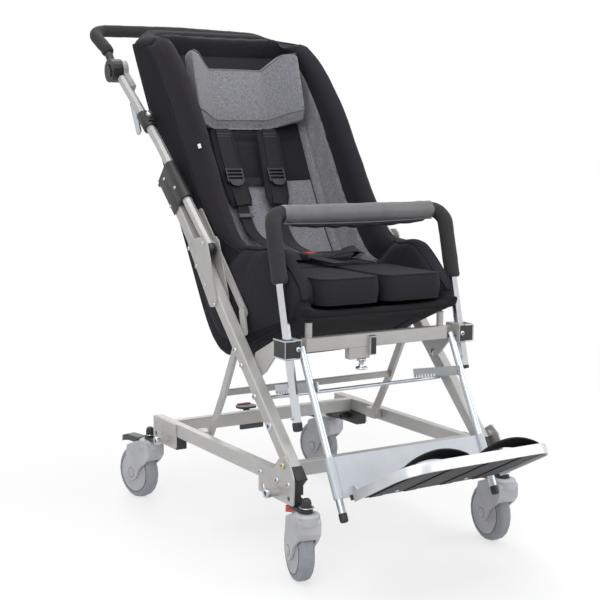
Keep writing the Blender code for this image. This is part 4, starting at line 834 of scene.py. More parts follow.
def thigh_cushions():
    """Two boxed thigh sections in front and one pad behind them, on the shell's seat, their edges piped."""
    for name, x, y, z, size in (
            ("thigh_cushion.R", -0.0770, 0.2070, 0.5600, (0.153, 0.214, 0.052)),
            ("thigh_cushion.L", 0.0830, 0.2070, 0.5600, (0.153, 0.214, 0.052)),
            ("seat_pad", 0.0, 0.4080, 0.5590, (0.322, 0.160, 0.050))):
        bm, seams = grid_block(size, at(x, y, z), 17, round_plan)
        made = piece(name, bm, BLACK_CLOTH, "seat")
        swell(made, 0.0060, seams)
        made.data.shade_smooth()
        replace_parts(made, "seat_cushion")
        for edge in (-1, 1):
            welt = []
            for c, s in circle(96):
                reach = 1 / max(abs(c), abs(s))
                unit = round_plan(Vector((c * reach, s * reach, edge)))
                welt.append(at(x, y, z) + Vector(m * k / 2 for m, k in zip(unit, size)))
            welt.append(welt[0].copy())
            trim = name.replace(".", "_edge.") + ("_top" if edge > 0 else "_low")
            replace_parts(piping(trim, welt, 0.0014, BLACK_CLOTH, "seat", 6), "seat_cushion")


HEADREST = (0.6958, 0.8822)
HEADREST_H = 0.184
HEADREST_HALF = 0.150
HEADREST_T = 0.021
HEADREST_WING = 0.072


def on_back(x, up, forward):
    """A place on the head pad, up and forward from its lower front edge; the pad tips forward of the back."""
    tip = radians(9.4)
    upward = BACK_UP * cos(tip) + BACK_FORWARD * sin(tip)
    ahead = BACK_FORWARD * cos(tip) - BACK_UP * sin(tip)
    return at(x, *HEADREST) + upward * up + ahead * forward


def head_profile(part):
    """Forward reach and top height of the head pad at a share of its half width: flat middle, bent wings."""
    beyond = max(0.0, (abs(part) - 0.47) / 0.53)
    reach = 0.0024 + (HEADREST_WING - 0.0024) * beyond ** 1.12
    notch = 0.026 * (1 - min(1.0, max(0.0, (abs(part) - 0.50) / 0.28)))
    return reach, HEADREST_H - notch - 0.006 * smooth_step(0.74, 1.0, abs(part))


HEAD_UP = [0.0, 0.065, 0.13, *[0.13 + 0.87 * i / 10 for i in range(1, 11)]]


def head_ring(part):
    """One upright ring of the head pad: front from below, over the top, down the back."""
    reach, high = head_profile(part)
    end = smooth_step(0.96, 1.0, abs(part))
    wing = smooth_step(0.45, 0.95, abs(part))
    x = part * (HEADREST_HALF - 0.003)
    low = 0.002 + 0.003 * end + 0.006 * wing
    high -= 0.006 + 0.003 * end - 0.004 * wing
    front = reach - 0.0030 - 0.003 * end
    back = reach - 0.0030 - HEADREST_T - 0.024 * wing + 0.003 * end
    rise = [low + 0.003 + (high - low - 0.006) * share for share in HEAD_UP]
    gusset = [0.6 * HEADREST_T * max(0.0, 1 - (up - low) / 0.024) for up in rise]
    ring = [on_back(x, up, front - cut) for up, cut in zip(rise, gusset)]
    ring.append(on_back(x, high, front * 0.7 + back * 0.3))
    ring.append(on_back(x, high, front * 0.3 + back * 0.7))
    ring += [on_back(x, up, back) for up in reversed(rise)]
    ring.append(on_back(x, low, front * 0.3 + back * 0.7))
    ring.append(on_back(x, low, front * 0.7 + back * 0.3))
    return ring


def headrest():
    """Head pad: flat front between two higher wings bent forward, seams round its front and gusset."""
    columns = 52
    shares = [-1 + 2 * i / columns for i in range(columns + 1)]
    rings = [head_ring(share) for share in shares]
    count = len(rings[0])
    seams = [i * count + j for i in range(columns + 1) for j in (0, 2, 12, 15, 27)]
    seams += [*range(count), *range(columns * count, (columns + 1) * count)]
    made = piece("head_pad", skinned(rings), GREY_CLOTH, "headrest")
    swell(made, 0.0050, seams)
    made.data.shade_smooth()
    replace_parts(made, "headrest")
    for name, spot in (("head_seam_low", 2), ("head_seam_top", 12)):
        route = [ring[spot] + BACK_FORWARD * 0.0006 for ring in rings[1:-1]]
        piping(name, route, 0.0010, GREY_CLOTH, "headrest", 6)
    for side, name in SIDES.items():
        route = [on_back(side * HEADREST_HALF * 0.535, 0.010 + 0.142 * i / 20,
                         head_profile(0.535)[0] - 0.0015)
                 for i in range(21)]
        piping("head_fold." + name, route, 0.0008, GREY_CLOTH, "headrest", 6)


thigh_cushions()
headrest()


# Harness

def strap(name, points, width, thick, hint=(0, -0.5, 1.0)):
    """Flat webbing along a smooth route, with rounded edges and its width square to the hint."""
    route = smooth_route([at(*p) for p in points], 7)
    low = [(-1, -0.3), (-0.96, -1), (-0.5, -1), (0, -1), (0.5, -1), (0.96, -1), (1, -0.3)]
    outline = [(p * width / 2, q * thick / 2) for p, q in [*low, *[(-p, -q) for p, q in low]]]
    rings = []
    for index, place in enumerate(route):
        along = heading(route, index)
        across = along.cross(Vector(hint)).normalized()
        normal = across.cross(along)
        rings.append([place + across * p + normal * q for p, q in outline])
    return piece(name, skinned(rings), WEBBING, "seat")


BUCKLE = at(0.0, 0.390, 0.6025)
BACK_TURN = Matrix((Vector((1, 0, 0)), -BACK_FORWARD, BACK_UP)).transposed()


def ladder_lock(name, place):
    """A ladder lock: frame with four bars and a rounded thumb plate below."""
    width = 0.042
    bm = bmesh.new()
    for offset in (0.0185, 0.0095, 0.0005, -0.0085):
        block(bm, place + BACK_UP * offset, (width, 0.0046, 0.0040), BACK_TURN, 0.0010)
    for side in (-1, 1):
        block(bm, place + BACK_TURN @ Vector((side * width / 2, 0, 0.004)), (0.0042, 0.0054, 0.036),
              BACK_TURN, 0.0012)
    thumb = [(-0.42, -0.0095), (0.42, -0.0095), (0.42, -0.016), (0.28, -0.0220), (0.0, -0.0245),
             (-0.28, -0.0220), (-0.42, -0.016)]
    skinned([[place + BACK_TURN @ Vector((x * width, depth, z)) for x, z in thumb]
             for depth in (-0.0042, -0.0018)], bm)
    return piece(name, bm, BLACK, "seat")


def shoulder_pad(name, pad):
    """A stuffed pad along a shoulder strap, thinner and narrower at its ends."""
    outline = [(-1, 0.0), (-0.94, 0.55), (-0.72, 0.95), (-0.3, 1.05), (0.3, 1.05), (0.72, 0.95), (0.94, 0.55),
               (1, 0.0), (0.94, -0.5), (0.6, -0.7), (-0.6, -0.7), (-0.94, -0.5)]
    rings = []
    route = smooth_route(pad, 8)
    for index, spot in enumerate(route):
        end = min(index, len(route) - 1 - index) / (len(route) - 1)
        half = 0.0325 * (0.82 + 0.18 * smooth_step(0, 0.12, end))
        thick = 0.0062 * min(1.0, 4.5 * end + 0.35)
        rings.append([at(*spot) + Vector((x * half, 0, 0)) + BACK_FORWARD * (y * thick + 0.001)
                      for x, y in outline])
    made = piece(name, skinned(rings), BLACK_CLOTH, "seat")
    return made


def buckle():
    """The buckle's body, with a well in its top for the red button."""
    outline = mm((-21, -29), (21, -29), (23.5, -18), (23.5, 18), (19, 30), (-19, 30), (-23.5, 18),
                 (-23.5, -18))
    hole = mm((-9.4, -12.4), (9.4, -12.4), (9.4, 12.4), (-9.4, 12.4))
    bm = bmesh.new()

    def ring(points, wide, long, z):
        return [bm.verts.new(BUCKLE + Vector((x * wide, y * long, z))) for x, y in points]
    rows = [ring(outline, 1.0, 1.0, -0.0065), ring(outline, 1.03, 1.02, 0.0),
            ring(outline, 0.93, 0.95, 0.0058)]
    grid_faces(bm, rows, cyclic=True)
    bm.faces.new(rows[0])
    well = [ring(hole, 1.0, 1.0, 0.0058), ring(hole, 1.0, 1.0, 0.0024)]
    grid_faces(bm, well, cyclic=True)
    bm.faces.new(well[1])
    for k in range(8):
        after = (k + 1) % 8
        face = [rows[2][k], rows[2][after], well[0][after // 2], well[0][k // 2]]
        bm.faces.new([vert for index, vert in enumerate(face) if vert not in face[:index]])
    return piece("buckle_body", bm, BLACK, "seat")


def harness():
    """Five point harness: padded shoulder straps with ladder locks, lap straps, crotch strap, buckle."""
    pieces = []
    for side, name in SIDES.items():
        def mirror(*points):
            return [(side * x, y, z) for x, y, z in points]
        pad = mirror((0.064, 0.692, 0.880), (0.063, 0.675, 0.838), (0.060, 0.654, 0.792),
                     (0.055, 0.631, 0.745), (0.050, 0.609, 0.703))
        low = mirror((0.0505, 0.6085, 0.706), (0.047, 0.590, 0.668), (0.042, 0.562, 0.637),
                     (0.032, 0.510, 0.616), (0.022, 0.440, 0.6065), (0.0150, 0.408, 0.6034))
        lap = mirror((0.158, 0.442, 0.6070), (0.128, 0.422, 0.6020), (0.090, 0.405, 0.6005),
                     (0.040, 0.394, 0.6015), (0.015, 0.391, 0.6015))
        over = [(x, y - 0.0074, z + 0.0034) for x, y, z in pad]
        lock = at(side * 0.0575, 0.6405, 0.766) + BACK_FORWARD * 0.0112
        slider = at(side * 0.0485, 0.5960, 0.680) + BACK_FORWARD * 0.003, (0.038, 0.0050, 0.010), 0.0016
        rows = [at(side * 0.0635, 0.675 + 0.017 * (z - 0.838) / 0.042, z) + BACK_FORWARD * 0.0092
                for z in (0.868, 0.862)]
        stitches = [(row, (0.034, 0.0008, 0.0012), 0.0003) for row in rows]
        pieces += [shoulder_pad("shoulder_pad." + name, pad),
                   strap("shoulder_web." + name, over, 0.036, 0.0024, BACK_FORWARD),
                   strap("shoulder_tail." + name, low, 0.031, 0.0024),
                   strap("lap_strap." + name, lap, 0.030, 0.0030),
                   ladder_lock("ladder_lock." + name, lock),
                   blocks("strap_slider." + name, PEDAL, "seat", slider, turn=BACK_TURN),
                   blocks("pad_stitch." + name, PEDAL, "seat", *stitches, turn=BACK_TURN)]
    yoke = [(-0.064, 0.6480, 0.7600), (-0.030, 0.6470, 0.7590), (0.030, 0.6470, 0.7590),
            (0.064, 0.6480, 0.7600)]
    crotch = [(0, 0.372, 0.6022), (0, 0.340, 0.5995), (0, 0.300, 0.5985), (0, 0.262, 0.5975)]
    loop = [(0.022, 0.388, 0.6040), (0.036, 0.356, 0.6050), (0.052, 0.330, 0.6170), (0.074, 0.318, 0.6220),
            (0.092, 0.326, 0.6130), (0.088, 0.350, 0.5990)]
    pieces += [strap("chest_yoke", yoke, 0.020, 0.0026, BACK_FORWARD),
               strap("crotch_strap", crotch, 0.034, 0.0030),
               strap("strap_end", loop, 0.026, 0.0018),
               buckle()]
    for made in pieces:
        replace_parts(made, "harness")


harness()


# Foam sleeves and the padded bar cover

def bent(spots, radius):
    """A route whose inner corners become arcs."""
    steps = 8
    route = [spots[0]]
    for before, corner, after in zip(spots, spots[1:], spots[2:]):
        back, ahead = (before - corner), (after - corner)
        half = back.angle(ahead) / 2
        reach = min(radius / tan(half), 0.49 * back.length, 0.49 * ahead.length)
        back.normalize()
        ahead.normalize()
        middle = corner + (back + ahead).normalized() * (reach / cos(half))
        arm, other = corner + back * reach - middle, corner + ahead * reach - middle
        route += [middle + arm.lerp(other, step / steps).normalized() * arm.length
                  for step in range(steps + 1)]
    route.append(spots[-1])
    return route


def even(route, gap):
    """Points at an even spacing along a route."""
    out = [route[0].copy()]
    left = gap
    for a, b in zip(route, route[1:]):
        length = (b - a).length
        done = 0.0
        while length - done >= left:
            done += left
            out.append(a.lerp(b, done / length))
            left = gap
        left -= length - done
    out.append(route[-1].copy())
    return out


def sleeve(name, path, bend, radius, body, node):
    """A soft foam tube over a bar: rounded lips at both ends and a faintly uneven surface."""
    gap = 0.006
    points = even(bent([at(*p) for p in path], bend), gap)

    def reach(t):
        lip = min(t, 1 - t) * (len(points) - 1) * gap
        return radius - 0.0027 * (1 - min(lip / 0.003, 1.0)) ** 2 + 0.0004 * ripple(t * 40, 1.0, 0.3)
    made = piping(name, points, reach, FOAM, body, 24)
    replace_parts(made, node)


HUB = (0.893, 1.021)
HANDLE_X = 0.2475
HANDLE_BEND = (0.937, 1.073)
HANDLE_BACK = (1.040, 1.125)
HANDLE_BOW = 0.012
BAR_X = 0.219
BAR_FRONT_Y = 0.200
BAR_TOP = 0.713
BAR_TILT = radians(14.3)
BAR_FOAM_END = (0.154, 0.5775)
PAD_HALF = 0.188


def on_bar(z):
    """Place of the safety bar's leg axis at a height in the side view."""
    return (BAR_FOAM_END[0] + (z - BAR_FOAM_END[1]) * tan(BAR_TILT), z)


def foam_sleeves():
    """Foam over the push handle's grip and over the safety bar."""
    along = Vector((HANDLE_BEND[0] - HUB[0], HANDLE_BEND[1] - HUB[1])).normalized()
    low = (HANDLE_BEND[0] - along.x * 0.012, HANDLE_BEND[1] - along.y * 0.012)
    back = (HANDLE_BACK[0] + HANDLE_BOW, HANDLE_BACK[1] + HANDLE_BOW / 2)
    left = [(HANDLE_X, *low), (HANDLE_X, *HANDLE_BEND), (HANDLE_X, *HANDLE_BACK)]
    right = [(-x, y, z) for x, y, z in reversed(left)]
    sleeve("grip_foam", [*left, (0, *back), *right], 0.048, 0.0150, "handle", "handle_grip")
    front = (BAR_FRONT_Y, BAR_TOP)
    elbow = on_bar(BAR_TOP - 0.020)
    ends = on_bar(BAR_FOAM_END[1]), on_bar(BAR_FOAM_END[1] - 0.010)
    path = [(-BAR_X, *ends[0]), (-BAR_X, *elbow), (-BAR_X + 0.012, *front),
            (BAR_X - 0.012, *front), (BAR_X, *elbow), (BAR_X, *ends[1])]
    sleeve("bar_foam_sleeve", path, 0.030, 0.0165, "safety_bar", "bar_foam")


def bar_cover():
    """Vinyl cover wrapped over the bar: open below, hemmed along the gap and gathered at its ends."""
    def places(t, part):
        angle = radians(-62 + 304 * part)
        wrinkle = 0.0008 * sin(t * 90 + 3 * sin(angle * 2)) * (1 - smooth_step(0.02, 0.16, min(t, 1 - t)))
        droop = 0.0030 * max(0.0, -sin(angle)) * (1 - 0.6 * abs(2 * t - 1))
        radius = 0.0188 + wrinkle + 0.0006 * ripple(t * 12, angle, 1.0)
        centre = at(-PAD_HALF + 2 * PAD_HALF * t, BAR_FRONT_Y, BAR_TOP - droop)
        direction = Vector((0, cos(angle), sin(angle)))
        return centre + direction * radius, centre + direction * (radius - 0.0014)
    made = piece("bar_cover", sheet((70, 30), places), VINYL, "safety_bar")
    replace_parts(made, "bar_pad")
    for name, y in (("hem_front", -0.0095), ("hem_back", 0.0095)):
        route = [at(-PAD_HALF + 2 * PAD_HALF * i / 40, BAR_FRONT_Y + y,
                    BAR_TOP - 0.0182 - 0.003 * sin(pi * i / 40))
                 for i in range(41)]
        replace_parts(piping("bar_cover_" + name, route, 0.0015, VINYL, "safety_bar"), "bar_pad")


foam_sleeves()
bar_cover()


# Fittings

MAIN_X = 0.240
MAIN_FOOT = Vector((0.0400, 0.1965))
MAIN_TILT = radians(45.0)
MAIN_ALONG = Vector((cos(MAIN_TILT), sin(MAIN_TILT)))
MAIN_UP = Vector((-MAIN_ALONG.y, MAIN_ALONG.x))
MAIN_OUT = 0.2525
PLATE_OUT = 0.2653
HINGE_OUT = 0.2558
STUB_OUT = 0.296
UPRIGHT = (0, 0, 1)
FORK_TOP = 0.1502
WHEEL_R = 0.0625
TRAIL = 0.045
WHEEL_FACE = 0.016
FORK_FACE = 0.0235
LINE_LIFT = 0.0001
CASTERS = {"front.R": (-0.249, 0.0, -14.9), "front.L": (0.249, 0.0, -7.1),
           "rear.R": (-0.2576, 0.6854, 12.0), "rear.L": (0.2576, 0.6854, 10.0)}


def on_main(distance, lift=0.0):
    """A place in the side view, along a main tube from its foot and square to it."""
    return MAIN_FOOT + MAIN_ALONG * distance + MAIN_UP * lift


def dome(bm, place, axis, radius, height, socket=None):
    """A domed bolt head, with a hexagon socket sunk into it where one is given, the socket's floor a dark
    plug as painted shade.
    """
    def turned(steps, bm, *profile):
        lathe([(radius * r, height * h) for r, h in profile], place, axis, steps, bm)
    head = [(0.98, -0.001 / height), (1.0, 0.25), (0.90, 0.62), (0.62, 0.92), (0.42, 1.0)]
    turned(20, bm, *head, *([(0.40, 0.98), (0.38, 0.3)] if socket else []))
    # Painted shade: a dark hexagon fills the floor of the socket's well.
    if socket:
        turned(6, socket, (0.40, 0.28), (0.40, 0.45), (0.02, 0.45))


def bolts(head_name, socket_name, body, *heads):
    """Zinc bolt heads with dark sockets, painted shade in their recesses: each head's place, axis, radius and
    height.
    """
    zinc, dark = bmesh.new(), bmesh.new()
    for head in heads:
        dome(zinc, *head, dark)
    piece(head_name, zinc, ZINC, body)
    piece(socket_name, dark, PEDAL, body)


def ring_line(bm, place, axis, radius, thick, steps=40):
    """A thin ring, as a groove line or a washer's rim."""
    section = [(radius + thick * cos(a), thick * sin(a)) for a in (pi * k / 3 for k in range(6))]
    lathe([*section, section[0]], place, axis, steps, bm)


COVER = mm((46.6, -1), (46.6, 0.4), (45.5, 0.8), (42, 0.9), (41.2, 0.4), (18, 0.6), (17, 0.9), (3, 0.9))
BOSS = mm((10.5, -1), (10.5, 0.7), (9.8, 1.2), (1, 1.2))
COLLAR = mm((20, 128.5), (26.6, 128.5), (27, 130), (27, 141.8), (26.4, 142.4), (26.4, 143.2), (27, 143.8),
            (26.6, 146.2), (24.8, 148.6), (21.5, 149.8), (15, 150), (15, 149))
WASHER = mm((10.4, 0), (14.8, 0), (15.2, 0.6), (14.8, 1.4), (10.4, 1.4), (10.4, 0))


def casters():
    """Wheel covers, a dark ring as painted shade in the groove round each cover, axle bosses, fork collar,
    dark rings as painted shade round the bosses and on the collar, and washer on each caster.
    """
    for tag, (x, y, angle) in CASTERS.items():
        key = tag.replace(".", "_")
        turn = Matrix.Rotation(radians(angle), 3, "Z")
        middle = at(x, y, WHEEL_R) + turn @ Vector((0, TRAIL, 0))
        covers, groove_shades, bosses, shade_lines = (bmesh.new() for _ in range(4))
        for side in (-1, 1):
            axis = turn @ Vector((side, 0, 0))
            lathe(COVER, middle + axis * WHEEL_FACE, axis, 48, covers)
            # Painted shade: a near-black ring in the groove between cover and tyre.
            ring_line(groove_shades, middle + axis * (WHEEL_FACE + LINE_LIFT), axis, 0.0484, 0.0007, 48)
            lathe(BOSS, middle + axis * FORK_FACE, axis, 28, bosses)
            # Painted shade: a near-black ring where the boss meets the fork.
            ring_line(shade_lines, middle + axis * (FORK_FACE + LINE_LIFT), axis, 0.0112, 0.0004, 28)
        piece("wheel_cover." + tag, covers, CASTER, "wheel_" + key)
        piece("wheel_groove_shade." + tag, groove_shades, PEDAL, "wheel_" + key)
        # Painted shade: a near-black ring round the collar.
        ring_line(shade_lines, at(x, y, FORK_TOP - 0.0088), UPRIGHT, 0.0226, 0.0004)
        piece("axle_boss." + tag, bosses, CASTER, "caster_" + key)
        piece("collar_shade_line." + tag, shade_lines, PEDAL, "caster_" + key)
        piece("fork_collar." + tag, lathe(COLLAR, at(x, y, 0), UPRIGHT, 40), CASTER, "caster_" + key)
        piece("stem_washer." + tag, lathe(WASHER, at(x, y, FORK_TOP + 0.0103), UPRIGHT), ZINC, "frame")


LIP = mm((5.2, -10), (8.8, -10), (9.2, -8.5), (9.2, -1), (8.6, 0.4), (5.6, 0.4), (5.2, -0.4), (5.2, -10))
# Black disc a little inside each hollow axle stub: painted shade in its bore.
BORE = mm((5.1, -3.5), (5.1, -3), (0.4, -3))


def frame_bolts():
    """Domed bolts of the frame with sockets darkened as painted shade, brass pivot bolts, steel lips of the
    axle stubs and black discs in their bores as painted shade.
    """
    tube_bolts = ((0.137, 0.0, 0.0102), (0.214, -0.007, 0.0070), (0.292, -0.006, 0.0060),
                  (0.332, -0.006, 0.0060))
    for side, name in SIDES.items():
        heads, dark, pivots, lips, bores = (bmesh.new() for _ in range(5))
        out = Vector((side, 0, 0))
        for distance, lift, radius in tube_bolts:
            dome(heads, at(side * MAIN_OUT, *on_main(distance, lift)), out, radius, 0.0040, dark)
        for y, z in ((0.1490, 0.1985), (0.0845, 0.1970), (0.0410, 0.1975)):
            dome(heads, at(side * PLATE_OUT, y, z), out, 0.0062, 0.0036, dark)
        dome(pivots, at(side * (PLATE_OUT + 0.0030), 0.0600, 0.2325), out, 0.0066, 0.0026, dark)
        for y, z in ((0.0785, 0.175), (0.576, 0.172)):
            lathe(LIP, at(side * STUB_OUT, y, z), out, 28, lips)
            lathe(BORE, at(side * STUB_OUT, y, z), out, 20, bores)
        for start, look, bm in (("frame_bolts.", ZINC, heads), ("bolt_sockets.", PEDAL, dark),
                                ("pivot_bolt.", BRASS, pivots), ("axle_lip.", ZINC, lips),
                                ("axle_bore.", BLACK, bores)):
            piece(start + name, bm, look, "frame")


TIP = [(0.05, -14.5), (0.90, -15), (1.0, -14), (1.0, -2), (0.94, 1.2), (0.75, 2.8), (0.4, 3.6), (0.05, 3.8)]


def tube_tip(name, radius, length, place, along, body):
    """A black plug on a tube's end: the tube's radius and a share of the full length."""
    profile = [(r * radius, h * length / 1000) for r, h in TIP]
    piece(name, lathe(profile, place, along, 24), BLACK, body)


def end_caps():
    """Black caps on the feet of the main tubes, leg tubes and bar legs."""
    leg_along = Vector((0, -0.044 - 0.1155, 0.136 - 0.4445)).normalized()
    bar_along = Vector((0, -sin(BAR_TILT), -cos(BAR_TILT)))
    turn = Matrix.Rotation(MAIN_TILT, 3, "X")
    for side, name in SIDES.items():
        cap = at(side * MAIN_X, *on_main(0.0158)), (0.0258, 0.0330, 0.0288), 0.0020
        blocks("tube_cap." + name, BLACK, "frame", cap, turn=turn)
        tube_tip("leg_tip." + name, 0.0086, 1.0, at(side * 0.190, -0.044, 0.136), leg_along, "leg_rest")
        low, share = {-1: (0.293, 1.0), 1: (0.374, 0.42)}[side]
        tube_tip("bar_tip." + name, 0.0102, share, at(side * BAR_X, *on_bar(low)), bar_along, "safety_bar")


def clamp_plates():
    """Painted sheet round each bar clamp's inner half, its gusset's faces, and the bolts through them."""
    land = on_main(0.277, 0.004)
    y, low, high = 0.123, 0.432, 0.470
    inner, outer = 0.2228, 0.2274
    outline = [(y + 0.0236, low + 0.0030), (y + 0.0305, low + 0.0035), (land.x - 0.036, land.y - 0.0036),
               (land.x - 0.012, land.y - 0.0188), (land.x + 0.0125, land.y + 0.006),
               (land.x + 0.0042, land.y + 0.0306), (y + 0.0302, high - 0.0034), (y + 0.0236, high - 0.0034)]
    for side, name in SIDES.items():
        bm = bmesh.new()
        block(bm, at(side * 0.2075, 0.1240, 0.451), (0.0146, 0.0474, 0.0394), None, 0.0010)
        skinned([[at(side * x, *p) for p in outline] for x in (inner, outer)], bm)
        piece("clamp_sheet." + name, bm, PAINT, "frame", smooth=False)
        bolts("clamp_bolts." + name, "clamp_sockets." + name, "frame",
              (at(side * 0.2082, 0.1003, 0.4515), (0, -1, 0), 0.0055, 0.0034),
              (at(side * inner, land.x - 0.013, land.y - 0.004), (-side, 0, 0), 0.0066, 0.0034))


KNOB = mm((3.7, -1), (9.6, -1.2), (10, -2), (10, -5.2), (9.2, -6.4), (6, -7), (5.4, -10), (5.4, -16),
          (6.8, -18.2), (11.2, -19.2), (12, -20.4), (12, -23), (10.8, -24.2), (1, -24.6))


def index_fittings():
    """Black plug on the index block's guide and the turned collar and head of the pull knob."""
    x, y, low = -0.038, 0.125, 0.416
    blocks("index_plug", BLACK, "frame",
           (at(x + 0.0185, y - 0.0168, 0.4425), (0.0128, 0.0016, 0.0352), 0.0006),
           (at(x + 0.0185, y - 0.0120, 0.4628), (0.0128, 0.0080, 0.0012), 0.0005))
    piece("index_grip", lathe(KNOB, at(x, y, low), UPRIGHT), ZINC, "index_knob")


casters()
frame_bolts()
end_caps()
clamp_plates()
index_fittings()


# Footplate, pedals and push tube fittings

FOOT_HINGE = (-0.04375, 0.17896)
FOOT_TILT = radians(28.5)
FOOT_HALF = 0.180
FOOT_LEN = 0.212
FOOT_CORNER = 0.055
FOOT_RIM = mm((0.2, -10.5), (2.2, -11.5), (3.2, -10.5), (3.2, 7.8), (2.4, 9), (1, 9), (0.2, 8))


def foot(x, ahead, height):
    """A place on the footplate: across, towards the toes from its hinge, and above its middle plane."""
    c, s = cos(FOOT_TILT), sin(FOOT_TILT)
    return at(x, FOOT_HINGE[0] - ahead * c + height * s, FOOT_HINGE[1] + ahead * s + height * c)


def foot_edge():
    """The bright rim round the toe edge and sides: places with their outward directions."""
    half = [(FOOT_HALF, 0.022 + 0.135 * k / 8, 1.0, 0.0) for k in range(8)]
    for k in range(13):
        c, s = cos(pi / 2 * k / 12), sin(pi / 2 * k / 12)
        half.append((FOOT_HALF - FOOT_CORNER + FOOT_CORNER * c,
                     FOOT_LEN - FOOT_CORNER + FOOT_CORNER * s, c, s))
    return half + [(-x, ahead, -c, s) for x, ahead, c, s in reversed(half)]


def foot_mat(side, name):
    """A mat with a raised border, cross ribs and rounded corners."""
    def places(along, across):
        s, t = 2 * along - 1, 2 * across - 1
        fit = 1.0 / max((abs(s) ** 6 + abs(t) ** 6) ** (1 / 6), 1.0)
        edge = max(abs(s), abs(t))
        rim = 0.0030 * hump(edge, 0.84, 0.90, 0.95, 1.0)
        ribs = 0.0007 * max(0.0, sin(s * 34.0)) * (1 - smooth_step(0.78, 0.84, edge))
        fall = 0.0045 * smooth_step(0.95, 1.0, edge)
        x, ahead = side * 0.0865 + 0.0760 * t * fit, 0.1085 + 0.0830 * s * fit
        return foot(x, ahead, 0.0105 + rim + ribs - fall), foot(x, ahead, 0.0046)
    piece("foot_mat." + name, sheet((44, 40), places), MAT, "footplate")


def foot_strap(side, name):
    """A strap that arches over a foot, leaning towards the toes."""
    a, b = 0.0190, 0.0013
    ring = [(-a, -b), (a, -b), (a, b), (a * 0.3, b * 1.4), (-a * 0.3, b * 1.4), (-a, b)]
    arch = []
    for k in range(33):
        bow = sin(pi * k / 32)
        x = side * (0.0120 + 0.1500 * k / 32)
        height = 0.0085 + 0.0185 * max(bow, 0.0) ** 0.75
        arch.append([foot(x, 0.1680 + 0.010 * bow + p, height + q + 0.20 * p) for p, q in ring])
    piece("foot_strap." + name, skinned(arch), WEBBING, "footplate")


def footplate():
    """Footplate dressing: rim, two ribbed mats with raised borders, arched foot straps and bands beneath."""
    rings = [[foot(x + out * c, ahead + out * s, height) for out, height in FOOT_RIM]
             for x, ahead, c, s in foot_edge()]
    piece("foot_rim", skinned(rings), ALUMINIUM, "footplate")
    below = foot(0, 0, -1) - foot(0, 0, 0)
    for side, name in SIDES.items():
        foot_mat(side, name)
        foot_strap(side, name)
        bands = [(foot(side * x, 0.108, -0.0061), (0.0300, 0.1900, 0.0022), 0.0008) for x in (0.045, 0.128)]
        blocks("under_band." + name, WEBBING, "footplate", *bands, turn=Matrix.Rotation(-FOOT_TILT, 3, "X"))
        bm = bmesh.new()
        for ahead in (0.196, 0.030):
            dome(bm, foot(side * 0.086, ahead, -0.0050), below, 0.0042, 0.0022)
        piece("foot_rivets." + name, bm, ZINC, "footplate")


PEDAL_ENDS = {"front": (0.0800, 0.0086, RED), "rear": (0.0950, 0.0030, PEDAL)}


def pedal_pads():
    """Ridged tread pads on the brake pedals and the red tip of the centre pedal."""
    for tag, (x, y, angle) in CASTERS.items():
        turn = Matrix.Rotation(radians(angle), 3, "Z")
        reach, flare, look = PEDAL_ENDS[tag.split(".")[0]]
        rings = []
        for k in range(17):
            spot = 0.0330 + (reach - 0.0330) * k / 16
            bend = max(0.0, (spot - reach + 0.028) / 0.028)
            high, low = 0.1494 - 0.0060 * bend ** 2, 0.1358 - 0.0060 * bend ** 1.6
            wide = 0.0134 + flare * smooth_step(0.0, 0.75, bend) - 0.0040 * bend ** 4
            ridge = 0.0005 * (k % 2) * (k > 12)
            half = [(wide, low), (wide, high - 0.0012), (wide - 0.0014, high + ridge)]
            rim = half + [(-p, q) for p, q in reversed(half)]
            rings.append([at(x, y, 0) + turn @ Vector((p, spot, q)) for p, q in rim])
        piece("pedal_pad." + tag, skinned(rings), look, "pedal_" + tag.replace(".", "_"))
    blocks("centre_pedal_tip", RED, "rear_pedal",
           (at(-0.0365, 0.6240, 0.2230), (0.0340, 0.0090, 0.0028), 0.0012))


PUSH_FOOT = (0.420, 0.638)
PUSH_BEND = (0.660, 0.848)
PUSH_ALONG = Vector((0, PUSH_BEND[0] - PUSH_FOOT[0], PUSH_BEND[1] - PUSH_FOOT[1])).normalized()
PUSH_UP = Vector((0, -PUSH_ALONG.z, PUSH_ALONG.y))
UPPER_ALONG = Vector((0, 0.233, 0.173)).normalized()
UPPER_UP = Vector((0, -UPPER_ALONG.z, UPPER_ALONG.y))
CLIP = mm((10.8, -26), (15, -26), (16.2, -24), (16.2, 24), (15, 26), (10.8, 26), (10.8, -26))
BALL = mm((11.3, -8), (11.9, -6), (11.9, 1), (10.8, 5), (8, 8.6), (4, 10.6), (0.4, 11.2))
HINGE_BOLTS = ((0.4826, 0.6224, 0.0048), (0.4466, 0.5863, 0.0048), (0.4069, 0.5493, 0.0048),
               (0.3650, 0.5120, 0.0048), (*PUSH_FOOT, 0.0078))


